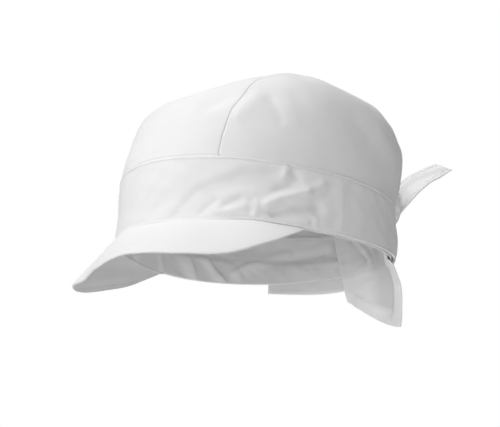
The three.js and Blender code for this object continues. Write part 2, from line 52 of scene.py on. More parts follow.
# %% [markdown]
# ## Camera, floor and light
#
# The cap is seen from the front left, from a little below its rim, so that we look up under the peak. The
# camera stands about 84 cm away with a long lens. The floor is a plain pale sheet well under the cap. A
# real studio would hang a white cloth behind and above it; here the world is that cloth. It looks white
# to the camera, and a softer grey to the cap, so that the shaded side stays shaded. The floor has a faint
# glow for the camera only, so that it stays pale far from the lamps. One big soft lamp hangs over the
# front, and three weaker ones stand in for the pale walls of a studio.

# %% Objects and nodes
MM = 0.001


def in_scene(name, data):
    thing = bpy.data.objects.new(name, data)
    bpy.context.scene.collection.objects.link(thing)
    return thing


def shaded(name):
    """A new material and its node tree with nothing in it."""
    material = bpy.data.materials.new(name)
    material.use_nodes = True
    tree = material.node_tree
    tree.nodes.clear()
    return material, tree


def add_node(tree, kind, inputs=None, **settings):
    """A new node. Each input is given a value, or the output of another node that is linked to it."""
    node = tree.nodes.new(kind)
    for name, value in settings.items():
        setattr(node, name, value)
    for socket, value in (inputs or {}).items():
        if isinstance(value, bpy.types.NodeSocket):
            tree.links.new(value, node.inputs[socket])
        else:
            node.inputs[socket].default_value = value
    return node


def math_node(tree, operation, *values):
    return add_node(tree, "ShaderNodeMath", dict(enumerate(values)), operation=operation).outputs["Value"]


# %% Camera
CAMERA_PLACE = (0.6356, -0.5109, -0.2095)
CAMERA_TARGET = (0.00264, -0.00765, 0.02668)
CAMERA_ROLL = 0.59
LENS = 89.92
CLIP = (0.02, 20.0)

lens = bpy.data.cameras.new("camera")
lens.lens = LENS
lens.clip_start, lens.clip_end = CLIP
camera = in_scene("camera", lens)
bpy.context.scene.camera = camera
look = Vector(CAMERA_TARGET) - Vector(CAMERA_PLACE)
roll = Quaternion((0, 0, 1), math.radians(CAMERA_ROLL))
camera.location = CAMERA_PLACE
camera.rotation_mode = "QUATERNION"
camera.rotation_quaternion = look.to_track_quat("-Z", "Y") @ roll
print("camera to cap:", round(look.length, 3), "m")

# %% Floor and world
FLOOR_HEIGHT = -0.33
FLOOR_SIZE = 6.0
FLOOR_PAINT = (0.93, 0.93, 0.93, 1)
FLOOR_ROUGHNESS = 0.9
FLOOR_GLOW = 0.32
PURE_WHITE = (1, 1, 1, 1)
WORLD_SEEN = 1.0
WORLD_LIGHT = 0.155


def make_floor():
    mesh = bpy.data.meshes.new("floor")
    half = FLOOR_SIZE / 2
    corners = [(-half, -half), (half, -half), (half, half), (-half, half)]
    mesh.from_pydata([(x, y, FLOOR_HEIGHT) for x, y in corners], [], [(0, 1, 2, 3)])
    floor = in_scene("floor", mesh)
    material, tree = shaded("pale floor")
    look = {"Base Color": FLOOR_PAINT, "Roughness": FLOOR_ROUGHNESS}
    paint = add_node(tree, "ShaderNodeBsdfPrincipled", look)
    ray = add_node(tree, "ShaderNodeLightPath")
    seen = math_node(tree, "MULTIPLY", ray.outputs["Is Camera Ray"], FLOOR_GLOW)
    glow = add_node(tree, "ShaderNodeEmission", {"Strength": seen})
    both = add_node(tree, "ShaderNodeAddShader", {0: paint.outputs["BSDF"], 1: glow.outputs["Emission"]})
    add_node(tree, "ShaderNodeOutputMaterial", {"Surface": both.outputs["Shader"]})
    mesh.materials.append(material)


def make_world():
    world = bpy.data.worlds.new("studio")
    bpy.context.scene.world = world
    world.use_nodes = True
    tree = world.node_tree
    tree.nodes.clear()
    ray = add_node(tree, "ShaderNodeLightPath")
    sides = {"Fac": ray.outputs["Is Camera Ray"]}
    for socket, strength in ((1, WORLD_LIGHT), (2, WORLD_SEEN)):
        cloth = add_node(tree, "ShaderNodeBackground", {"Color": PURE_WHITE, "Strength": strength})
        sides[socket] = cloth.outputs["Background"]
    mixed = add_node(tree, "ShaderNodeMixShader", sides)
    add_node(tree, "ShaderNodeOutputWorld", {"Surface": mixed.outputs["Shader"]})


make_floor()
make_world()
print("floor", FLOOR_SIZE, "m across, at", FLOOR_HEIGHT, "m")

# %% Lamps
LAMP_TARGET = (0, 0, 0.05)
LAMPS = [
    # name, place in metres, width and height in metres, power in watts
    ("window", (0.074, -0.842, 1.639), 1.4, 1.0, 25.2),
    ("side card", (1.378, -1.156, 0.113), 1.0, 0.6, 6.4),
    ("low card", (-0.408, -1.522, -0.228), 1.0, 0.25, 4.0),
    ("back card", (-0.725, 1.256, 0.726), 1.0, 0.8, 5.6),
]

for name, place, width, height, power in LAMPS:
    light = bpy.data.lights.new(name, "AREA")
    light.shape = "RECTANGLE"
    light.size, light.size_y = width, height
    light.energy = power
    lamp = in_scene(name, light)
    lamp.location = place
    aim = Vector(LAMP_TARGET) - Vector(place)
    lamp.rotation_euler = aim.to_track_quat("-Z", "Y").to_euler()
bpy.context.scene.view_settings.view_transform = "Standard"
print("lamps:", len(LAMPS))

# %% [markdown]
# ## Measuring round a head
#
# A cap is easiest to describe with ovals. Each oval has its own reach to the front, the side and the
# back, and its own height at those three places. A turn says how far round we are: 0 is the front and
# positive turns go to the wearer's left. All the pattern sizes are in millimetres, and become metres when
# a mesh is made.

# %% Ovals and smooth tables
RAD = math.pi / 180
FRONT, SIDE, BACK, Z_FRONT, Z_SIDE, Z_BACK = range(6)
RIM = np.array([99.4, 80.6, 104.4, 3.9, -3.2, 2.5])
BAND_TOP = np.array([97.4, 80.8, 106.0, 42.9, 37.4, 35.5])
RIM_DIP = {"depth": 4.2, "end": 58.0, "fade": 30.0}
CROWN_ROWS = np.array([
    # front, side, back, height at the front, side and back
    [96.6, 80.0, 103.4, 43.3, 37.8, 35.9],
    [91.4, 83.8, 109.9, 59.1, 56.5, 54.1],
    [85.1, 85.7, 112.2, 75.3, 77.0, 75.0],
    [76.5, 78.7, 105.4, 89.4, 96.6, 93.8],
    [60.4, 59.6, 88.6, 98.4, 107.7, 110.0],
    [37.3, 38.3, 58.1, 108.7, 117.0, 119.0],
    [0.0, 0.0, 0.0, 122.8, 122.8, 122.8],
])
PANEL_WIDTHS = np.array([
    # place along the top strip in degrees, half its width
    [0, 52.6], [15, 53.7], [30, 55.9], [45, 59.4], [60, 59.6],
    [75, 58.6], [90, 56.3], [120, 49.7], [150, 42.6], [180, 35.2],
])


def mix(a, b, share):
    return a + (b - a) * share


def smooth(value):
    share = np.clip(value, 0, 1)
    return share * share * (3 - 2 * share)


def unit(vectors):
    size = np.linalg.norm(vectors, axis=-1, keepdims=True)
    return vectors / np.maximum(size, 1e-9)


def through_points(before, start, end, after, share):
    """A smooth way from start to end, led by the places before and after them."""
    bend = 2 * before - 5 * start + 4 * end - after
    twist = 3 * start - before - 3 * end + after
    return 0.5 * (2 * start + (end - before) * share + bend * share**2 + twist * share**3)


def look_up(table, at):
    """Smooth columns of a table at a key, which is its first column."""
    keys = table[:, 0]
    last = len(keys) - 1
    after = np.clip(np.searchsorted(keys, at), 1, last)
    share = np.clip((at - keys[after - 1]) / (keys[after] - keys[after - 1]), 0, 1)[..., None]
    start, end = table[after - 1, 1:], table[after, 1:]
    rows = table[:, 1:]
    before = np.where((after > 1)[..., None], rows[np.maximum(after - 2, 0)], 2 * start - end)
    beyond = np.where((after < last)[..., None], rows[np.minimum(after + 1, last)], 2 * end - start)
    return through_points(before, start, end, beyond, share)


def oval(row, turn, out=0.0):
    """Points of an oval at these turns, moved outwards by out."""
    sin, cos = np.sin(turn * RAD), np.cos(turn * RAD)
    length = np.where(cos > 0, row[..., FRONT], row[..., BACK])
    height = np.where(cos > 0, row[..., Z_FRONT], row[..., Z_BACK])
    side = row[..., SIDE]
    normal = unit(np.stack([sin / np.maximum(side, 1e-6), -cos / np.maximum(length, 1e-6)], -1))
    z = row[..., Z_SIDE] + (height - row[..., Z_SIDE]) * cos * cos
    x = side * sin + normal[..., 0] * out
    y = -length * cos + normal[..., 1] * out
    return np.stack([x, y, z], -1)


def rim_dip(turn):
    """How far the rim hangs below its oval over the forehead, where the peak pulls it down."""
    return RIM_DIP["depth"] * smooth((RIM_DIP["end"] - np.abs(turn)) / RIM_DIP["fade"])


def rim(turn, out=0.0):
    point = oval(RIM, turn, out)
    point[..., 2] -= rim_dip(turn)
    return point


def level_band(turn, level, out=0.0):
    """The band at a turn and a share of its height, as if its rim did not dip."""
    level = np.asarray(level, float)
    return oval(mix(RIM, BAND_TOP, level[..., None]), np.asarray(turn, float), out)


def band_place(turn, level, out=0.0):
    """The plain band at a turn, and at a share of its height."""
    point = level_band(turn, level, out)
    point[..., 2] -= rim_dip(turn) * (1 - np.asarray(level, float))
    return point


steps_round = np.diff(oval(RIM, np.arange(361.0)), axis=0)
print("round the rim:", round(float(np.linalg.norm(steps_round, axis=1).sum())), "mm")

# %% [markdown]
# ## Folds, and cloth with a thickness
#
# Cloth that has been sewn and worn is never flat. A fold is drawn like a pencil stroke: a line over the
# surface, a width, and how far the cloth is pushed out or in along it. Many faint waves at random
# directions add the slack that no one draws. The strokes could be sculpted by hand, but as a table they
# are easy to read and to change.
#
# A sheet is then made as a closed wall. Its middle surface is a grid, and its two faces lie half a
# thickness to each side. Towards a folded edge the thickness falls to nothing along a quarter of an
# ellipse, so that the hem is round, as folded cloth is.

# %% Strokes and waves
CORE = np.array([0, 0, 40.0])


def stroke_push(points, strokes, place):
    """How far a list of strokes pushes each point. place turns a stroke's coordinates into points.

    A stroke's width may be a pair: its width to the left of its path and to the right, as seen from outside.
    """
    push = np.zeros(points.shape[:-1])
    for widths, height, path in strokes:
        left, right = np.broadcast_to(widths, 2)
        corners = place(*np.array(path, float).T)
        near = np.full(points.shape[:-1], 1e9)
        side = np.zeros(points.shape[:-1])
        for start, end in zip(corners[:-1], corners[1:]):
            along = end - start
            share = np.clip((points - start) @ along / max(along @ along, 1e-9), 0, 1)
            away = points - (start + share[..., None] * along)
            squared = np.einsum("...i,...i", away, away)
            leftwards = unit(np.cross(start - CORE, along))
            sideways = away @ leftwards / np.sqrt(np.maximum(squared, 1e-9))
            side = np.where(squared < near, sideways, side)
            near = np.minimum(near, squared)
        width = mix(right, left, (side + 1) / 2)
        push += height * np.exp(-near / width**2)
    return push


def waves(points, length, seed, count=9):
    """Faint waves about one high, of about that wavelength, in random directions."""
    rng = np.random.default_rng(seed)
    total = np.zeros(points.shape[:-1])
    for _ in range(count):
        direction = unit(rng.normal(size=3)) * 2 * math.pi / (length * rng.uniform(0.75, 1.5))
        total += np.sin(points @ direction + rng.uniform(0, 2 * math.pi))
    return total / math.sqrt(count / 2)


def slack(points, rows):
    """Waves from rows of their height, length and seed."""
    return sum(height * waves(points, length, seed) for height, length, seed in rows)


def groove(distance, at, width=0.45):
    return np.exp(-(((distance - at) / width) ** 2))


def ridges(distance, rows):
    """Ridges and grooves along an edge, from rows of their height, distance from it and width."""
    return sum(height * groove(distance, at, width) for height, at, width in rows)


def freed(distance, least, reach):
    """How freely cloth moves at a distance from a seam: the least at the seam, and wholly at the reach."""
    return mix(least, 1, smooth(distance / reach))


# %% Edges and grids
EDGE_SHARES = np.array([0, 0.05, 0.18, 0.4, 0.7])


def stations(length, step, edge_start=0.0, edge_end=0.0):
    """Places along a length, closer together where an edge is rounded."""
    head = EDGE_SHARES * edge_start if edge_start else np.array([0.0])
    tail = length - EDGE_SHARES[::-1] * edge_end if edge_end else np.array([length])
    count = max(int(round((length - edge_start - edge_end) / step)), 1)
    body = np.linspace(edge_start, length - edge_end, count + 1)
    body = body[(body > head[-1] + 1e-6) & (body < tail[0] - 1e-6)]
    return np.concatenate([head, body, tail])


def rounded(distance, radius):
    """Share of the full thickness at a distance from a folded edge."""
    return np.sqrt(np.clip(1 - (1 - np.clip(distance / radius, 0, 1)) ** 2, 0, 1))


def grid_normals(points, loop=False):
    """Unit normals of a grid of points, from its neighbours."""
    if loop:
        along = np.roll(points, -1, 0) - np.roll(points, 1, 0)
    else:
        along = np.gradient(points, axis=0)
    return unit(np.cross(along, np.gradient(points, axis=1)))


def flat_lengths(points, axis):
    """Length walked over the middle of a grid, along one of its axes."""
    steps = np.linalg.norm(np.diff(points, axis=axis), axis=-1)
    mean = steps.mean(axis=1 - axis)
    return np.concatenate([[0], np.cumsum(mean)])


# %% A closed wall of cloth
SAME_PLACE = 2e-6
NO_THICKNESS = 1e-6


def wall(name, middle, normals, thickness, loop=False, tone=None, tone_under=None):
    """One sheet of cloth as a closed mesh, with a UV map in metres of cloth and a tone for each face."""
    n, m = thickness.shape
    half = normals * (thickness / 2)[..., None]
    points = np.concatenate([(middle + half).reshape(-1, 3), (middle - half).reshape(-1, 3)]) * MM
    i, j = np.meshgrid(np.arange(n if loop else n - 1), np.arange(m - 1), indexing="ij")
    ahead = (i + 1) % n
    quad = np.stack([i * m + j, ahead * m + j, ahead * m + j + 1, i * m + j + 1], -1).reshape(-1, 4)
    faces = [quad, quad[:, ::-1] + n * m]
    first, after = i[:, 0] * m, ahead[:, 0] * m
    open_edges = [np.stack([first, after], -1), np.stack([after + m - 1, first + m - 1], -1)]
    if not loop:
        row = np.arange(m - 1)
        end_row = row + (n - 1) * m
        open_edges += [np.stack([row + 1, row], -1), np.stack([end_row, end_row + 1], -1)]
    for edge in open_edges:
        closing = np.concatenate([edge[:, ::-1], edge + n * m], -1)
        thick = thickness.reshape(-1)[edge].max(axis=1) > NO_THICKNESS
        faces.append(closing[thick])
    faces = np.concatenate(faces)
    corners = points[faces]
    across = np.cross(corners[:, 1], corners[:, 2]) + np.cross(corners[:, 2], corners[:, 3])
    if np.sum(corners[:, 0] * across) < 0:
        faces = faces[:, ::-1]
    u, v = flat_lengths(middle, 0), flat_lengths(middle, 1)
    uv = np.stack(np.meshgrid(u[:n], v, indexing="ij"), -1).reshape(-1, 2) * MM
    uv = np.concatenate([uv, uv])
    tone = np.ones(thickness.shape) if tone is None else tone
    tones = [tone.reshape(-1), (tone if tone_under is None else tone_under).reshape(-1)]
    return mesh_piece(name, points, faces, uv, np.concatenate(tones))


def mesh_piece(name, points, faces, uv, tone):
    """A piece from points in metres, with the UV map and the tone that the cotton reads."""
    mesh = bpy.data.meshes.new(name)
    mesh.from_pydata(points.tolist(), [], faces.tolist())
    layer = mesh.uv_layers.new(name="cloth")
    layer.data.foreach_set("uv", uv[faces.reshape(-1)].astype(np.float32).ravel())
    shade = mesh.attributes.new("tone", "FLOAT", "POINT")
    shade.data.foreach_set("value", tone.astype(np.float32))
    join_and_smooth(mesh)
    return in_scene(name, mesh)


def join_and_smooth(mesh):
    """Joins the points that a folded edge shares, drops faces with no area and shades the cloth smooth."""
    work = bmesh.new()
    work.from_mesh(mesh)
    bmesh.ops.remove_doubles(work, verts=work.verts, dist=SAME_PLACE)
    bmesh.ops.dissolve_degenerate(work, dist=SAME_PLACE / 4, edges=work.edges)
    work.to_mesh(mesh)
    work.free()
    for face in mesh.polygons:
        face.use_smooth = True


def report(piece):
    piece.data.calc_loop_triangles()
    size = [round(x * 1000) for x in piece.dimensions]
    print(piece.name, "size in mm", size, "triangles", len(piece.data.loop_triangles))
    return piece


# %% [markdown]
# ## The crown's shape
#
# The crown is a soft dome, fuller over the shoulders than at the band. A direction on a unit dome stands
# for each place on it, and a table of ovals, one for each level, says how big the dome is there. The same
# dome then serves all three panels, so that their edges meet. The other way is to model a sphere and pull
# it about, which is quick, but its quads would not run with the threads of the panels.

# %% The dome
TOP_LEVEL = len(CROWN_ROWS) - 1
STRAIGHT_FOOT = 0.6
NORMAL_STEP = 0.012
POLE = 1e-4
SMALL_ANGLE = 1e-3
HALVINGS = 40


def crown_row(level):
    """The crown's oval at a level, between the rows of the table too."""
    level = np.asarray(level, float)
    rows = CROWN_ROWS
    base = np.minimum(np.floor(level).astype(int), TOP_LEVEL - 1)
    mirrored = np.array([-1, -1, -1, 1, 1, 1.0]) * rows[TOP_LEVEL - 1]
    lowest, highest = (base == 0)[..., None], (base == TOP_LEVEL - 1)[..., None]
    before = np.where(lowest, 2 * rows[0] - rows[1], rows[np.maximum(base - 1, 0)])
    after = np.where(highest, mirrored, rows[np.minimum(base + 2, TOP_LEVEL)])
    return through_points(before, rows[base], rows[base + 1], after, (level - base)[..., None])


def crown_turn_level(direction):
    height = np.clip(direction[..., 2], 0, 1)
    turn = np.arctan2(direction[..., 0], -direction[..., 1]) / RAD
    return turn, np.arcsin(height) / (math.pi / 2) * TOP_LEVEL


def dome_place(turn, level):
    return oval(crown_row(level), np.asarray(turn, float))


def dome(direction):
    """The crown's plain surface in these directions."""
    return dome_place(*crown_turn_level(direction))


def dome_normal(direction):
    sideways = np.stack([-direction[..., 1], direction[..., 0], np.zeros(direction.shape[:-1])], -1)
    at_pole = np.linalg.norm(sideways, axis=-1, keepdims=True) < POLE
    sideways = unit(np.where(at_pole, [1.0, 0, 0], sideways))
    upwards = np.cross(sideways, direction)
    upwards = np.where(upwards[..., 2:] < 0, -upwards, upwards)
    low = direction[..., 2:] < NORMAL_STEP
    middle = np.where(low, unit(direction + upwards * NORMAL_STEP), direction)

    def walked(way):
        return dome(unit(middle + way * NORMAL_STEP)) - dome(unit(middle - way * NORMAL_STEP))

    normal = unit(np.cross(walked(sideways), walked(upwards)))
    inward = np.einsum("...i,...i", normal, dome(middle) - CORE) < 0
    normal = np.where(inward[..., None], -normal, normal)
    normal[..., 2] *= smooth(crown_turn_level(direction)[1] / STRAIGHT_FOOT)
    return unit(normal)


def strip_direction(along, across):
    """Direction at an angle along the top strip in degrees, and an angle across it in radians."""
    sin, cos = np.sin(across), np.cos(across)
    return np.stack([sin, -cos * np.cos(along * RAD), np.maximum(cos * np.sin(along * RAD), 0)], -1)


def seam_across(along, beyond=0.0):
    """Angle across the top strip at its seam, and then this far beyond it over the cloth."""
    width = look_up(PANEL_WIDTHS, along)[..., 0]
    low, high = np.zeros_like(width), np.full_like(width, math.pi / 2)
    for _ in range(HALVINGS):
        middle = (low + high) / 2
        wide = dome(strip_direction(along, middle))[..., 0] > width
        low, high = np.where(wide, low, middle), np.where(wide, middle, high)
    across = (low + high) / 2
    walked = dome(strip_direction(along, across + SMALL_ANGLE)) - dome(strip_direction(along, across))
    return across + beyond * SMALL_ANGLE / np.linalg.norm(walked, axis=-1)


print("height of the dome over the rim:", dome_place(0, TOP_LEVEL)[2], "mm")

# %% [markdown]
# ## The folds of the crown
#
# The photograph shows a shallow dent in the top strip beside the left seam, a bright ridge where that
# seam kinks, a short crease behind it, and little puckers all along the top of the side panel, because
# its longer edge is eased into the straighter edge of the strip. The right side is not seen, and gets
# folds of the same kind.

# %% Crown folds
# Each stroke is its width and push in millimetres, then its path as (turn, level) pairs.
CROWN_STROKES = [
    ((7.0, 4.5), -1.3, [(29, 1.90), (34, 2.10), (37.5, 2.3)]),
    ((4.0, 6.5), 1.15, [(44.6, 1.5), (46.8, 1.9), (50, 2.2)]),
    ((2.0, 5.0), -0.65, [(57.2, 2.1), (60, 1.75), (62.5, 1.45)]),
    ((5.0, 8.0), 0.5, [(63, 2.3), (66, 1.8), (68, 1.4)]),
    (11.0, 0.9, [(-12, 1.7), (8, 1.9), (22, 2.0)]),
    (14.0, 0.8, [(78, 0.9), (95, 1.2)]),
    (10.0, -0.8, [(98, 1.7), (112, 1.2), (120, 0.7)]),
    (9.0, 0.8, [(112, 1.9), (126, 1.4)]),
    (5.0, -0.4, [(86, 2.1), (97, 1.9), (104, 1.5)]),
    (10.0, -1.3, [(-62, 2.5), (-80, 2.6), (-96, 2.3)]),
    (6.0, 0.9, [(-52, 1.8), (-64, 2.0)]),
    (3.5, -0.7, [(-70, 1.9), (-75, 1.4), (-77, 1.0)]),
    (9.0, 0.9, [(-104, 2.0), (-118, 1.3)]),
    (13.0, -1.5, [(166, 2.7), (180, 2.5), (194, 2.7)]),
    (8.0, 0.9, [(164, 1.7), (180, 1.5), (197, 1.8)]),
    (13.0, -1.7, [(100, 3.4), (112, 3.2), (122, 3.05), (130, 2.7)]),
    (12.0, -1.5, [(50, 4.6), (34, 4.3), (22, 3.6), (12, 3.35)]),
    (4.5, -0.7, [(170, 1.0), (160, 1.3)]),
    (4.5, -0.7, [(189, 0.9), (200, 1.3)]),
]
CROWN_SLACK = [(0.35, 46.0, 11), (0.06, 17.0, 12)]
# small upright gathers where the cloth goes into the band, between these levels
GATHER_DEPTH, GATHER_LENGTH, GATHER_SEED = 0.10, 11.0, 13
GATHER_START, GATHER_END = 0.12, 0.9


def crown_push(points, turn, level):
    """All the folds of the crown: drawn strokes, slack and gathers."""
    push = stroke_push(points, CROWN_STROKES, dome_place) + slack(points, CROWN_SLACK)
    gather = GATHER_DEPTH * waves(points * [1, 1, 0.25], GATHER_LENGTH, GATHER_SEED)
    gather *= smooth(level / GATHER_START) * smooth(1 - level / GATHER_END)
    return smooth(level / STRAIGHT_FOOT) * push + gather


print("strokes on the crown:", len(CROWN_STROKES))

# %% [markdown]
# ## Sewing the panels together
#
# Where two panels are sewn, both turn inwards and lie against each other inside the cap. That is what
# makes a seam a thin dark groove with two soft shoulders. Each panel gets this turn along its seams: a
# quarter of a small circle, and then a strip of seam allowance. At the foot the cloth goes straight down
# behind the band.

# %% Seam and foot
CROWN_CLOTH = 1.0
SEAM_TURN = 1.15
SEAM_ANGLES = (25, 50, 72, 90)
ALLOWANCE = (1.2, 3.2, 5.2)
TRIMMED_BELOW, TRIM_FADE, TRIMMED_TO = 40.0, 18.0, 0.06
FOOT_TUCK = [
    # below the foot, how far in
    (0.7, 0.4), (1.4, 0.7), (2.2, 0.8), (3.0, 0.8),
]


def tuck_foot(points, normals):
    """Adds rows before the first row of a grid, which run down behind the band."""
    rows = [points[0] - normals[0] * inset - [0, 0, down] for down, inset in FOOT_TUCK[::-1]]
    return np.concatenate([rows, points]), np.concatenate([[normals[0]] * len(rows), normals])


def turn_in(points, normals):
    """Adds columns after the last one that turn down into the seam and on as the allowance."""
    last, normal = points[:, -1], normals[:, -1]
    towards = unit(np.cross(normal, np.gradient(last, axis=0)))
    towards *= np.sign(np.sum(towards * (last - points[:, -2])))
    centre = last - normal * SEAM_TURN
    facings = [normal * math.cos(angle * RAD) + towards * math.sin(angle * RAD) for angle in SEAM_ANGLES]
    kept = mix(TRIMMED_TO, 1.0, smooth((last[:, 2:] - TRIMMED_BELOW) / TRIM_FADE))
    columns = [centre + facing * SEAM_TURN for facing in facings]
    columns += [centre + towards * SEAM_TURN - normal * depth * kept for depth in ALLOWANCE]
    facings += [towards] * len(ALLOWANCE)
    points = np.concatenate([points, np.stack(columns, 1)], 1)
    return points, np.concatenate([normals, np.stack(facings, 1)], 1)


def creased(direction, more=lambda plain: 0):
    """Points and normals of the folded crown in these directions."""
    normals = dome_normal(direction)
    plain = dome(direction)
    push = crown_push(plain, *crown_turn_level(direction)) + more(plain)
    return plain + normals * push[..., None], normals


def panel_wall(name, outer, normals):
    return wall(name, outer - normals * (CROWN_CLOTH / 2), normals, np.full(outer.shape[:2], CROWN_CLOTH))


# %% Top strip
STRIP_ALONG, STRIP_ACROSS = 221, 97
STRIP_CROWDING = 0.92


def top_strip():
    """The strip over the head. Its columns crowd towards its seams."""
    along = np.linspace(0, 180, STRIP_ALONG)
    edge = seam_across(along, -SEAM_TURN)
    reach = math.pi / 2 * STRIP_CROWDING
    across = np.sin(np.linspace(-1, 1, STRIP_ACROSS) * reach) / math.sin(reach)
    points, normals = creased(strip_direction(along[:, None], edge[:, None] * across))
    for _ in range(2):
        points, normals = tuck_foot(points, normals)
        points, normals = points[::-1], normals[::-1]
    for _ in range(2):
        points, normals = turn_in(points, normals)
        points, normals = points[:, ::-1], normals[:, ::-1]
    return panel_wall("top_strip", points[:, ::-1], normals[:, ::-1])


# %% Side panels
PANEL_ALONG, PANEL_UP = 181, 73
PANEL_CROWDING = 1.25
PUCKERS = [
    # share along the seam from the front foot, width along it in mm, push in mm
    (0.395, 5.0, 0.8), (0.425, 4.0, -0.7), (0.452, 4.2, 1.1), (0.482, 4.0, -0.7), (0.508, 4.6, 1.1),
    (0.54, 4.5, -0.6), (0.565, 4.2, 0.7), (0.592, 4.4, -0.7), (0.622, 4.6, 1.2), (0.655, 4.4, -0.9),
    (0.30, 5.5, 0.6), (0.34, 4.6, -0.5), (0.72, 5.0, 0.8), (0.76, 4.6, -0.7), (0.80, 5.0, 0.6),
]
PUCKER_START, PUCKER_REACH = 3.0, 15.0


def side_panel(name, side):
    """A panel from the band up to its seam. Each column goes the shortest way round from its foot."""
    seam_angles = np.linspace(0, 180, PANEL_ALONG)
    seam = strip_direction(seam_angles, seam_across(seam_angles, SEAM_TURN))
    foot_turn = crown_turn_level(seam[[0, -1]])[0]
    turn = np.linspace(foot_turn[0], foot_turn[1], PANEL_ALONG) * RAD
    foot = np.stack([np.sin(turn), -np.cos(turn), np.zeros_like(turn)], -1)
    angle = np.arccos(np.clip(np.einsum("ij,ij->i", foot, seam), -1, 1))[:, None]
    up = 1 - (1 - np.linspace(0, 1, PANEL_UP)) ** PANEL_CROWDING
    sin = np.maximum(np.sin(angle), 1e-9)
    low = np.where(angle > 1e-6, np.sin(angle * (1 - up)) / sin, 1 - up)
    high = np.where(angle > 1e-6, np.sin(angle * up) / sin, up)
    direction = unit(low[..., None] * foot[:, None] + high[..., None] * seam[:, None])
    direction[..., 0] *= side
    points, normals = creased(direction, pucker_push)
    points, normals = tuck_foot(points.transpose(1, 0, 2), normals.transpose(1, 0, 2))
    points, normals = turn_in(points.transpose(1, 0, 2), normals.transpose(1, 0, 2))
    return panel_wall(name, points, normals)


def pucker_push(plain):
    """Eased cloth: short folds that run away from the seam and fade out."""
    seam = plain[:, -1]
    walked = np.concatenate([[0], np.cumsum(np.linalg.norm(np.diff(seam, axis=0), axis=1))])
    away = np.linalg.norm(plain - seam[:, None], axis=-1)
    push = np.zeros(plain.shape[:2])
    for share, width, height in PUCKERS:
        beside = (walked - share * walked[-1]) / width
        push += height * np.exp(-(beside**2))[:, None]
    return push * smooth(away / PUCKER_START) * np.exp(-((away / PUCKER_REACH) ** 2))


crown_pieces = [top_strip(), side_panel("side_panel_left", 1), side_panel("side_panel_right", -1)]
for piece in crown_pieces:
    report(piece)

# %% [markdown]
# ## The band
#
# The band is one folded strip of cloth, about four centimetres high. It starts under the far side at the
# back, goes once round the head and laps on over itself behind, where it ends square. Its top edge is
# stitched down close to the fold, which makes two thin bright lines with a groove between them. Over the
# left temple the cloth is loose and crumpled: it has a long crescent fold, a pocket, and a slanting ridge
# with a deep hollow under it.

# %% Band folds
BAND_CLOTH = 2.0
BAND_HEIGHT = 40.0
BAND_RADIUS = 90.0
BAND_START, BAND_END = -194.0, 232.8
LAYER_STEP = 2.4
LAYER_RAMP = (-85.0, -125.0)
LAP_DROPS = np.array([[150.0, 0.0], [196.0, 9.3], [BAND_END, 6.4]])
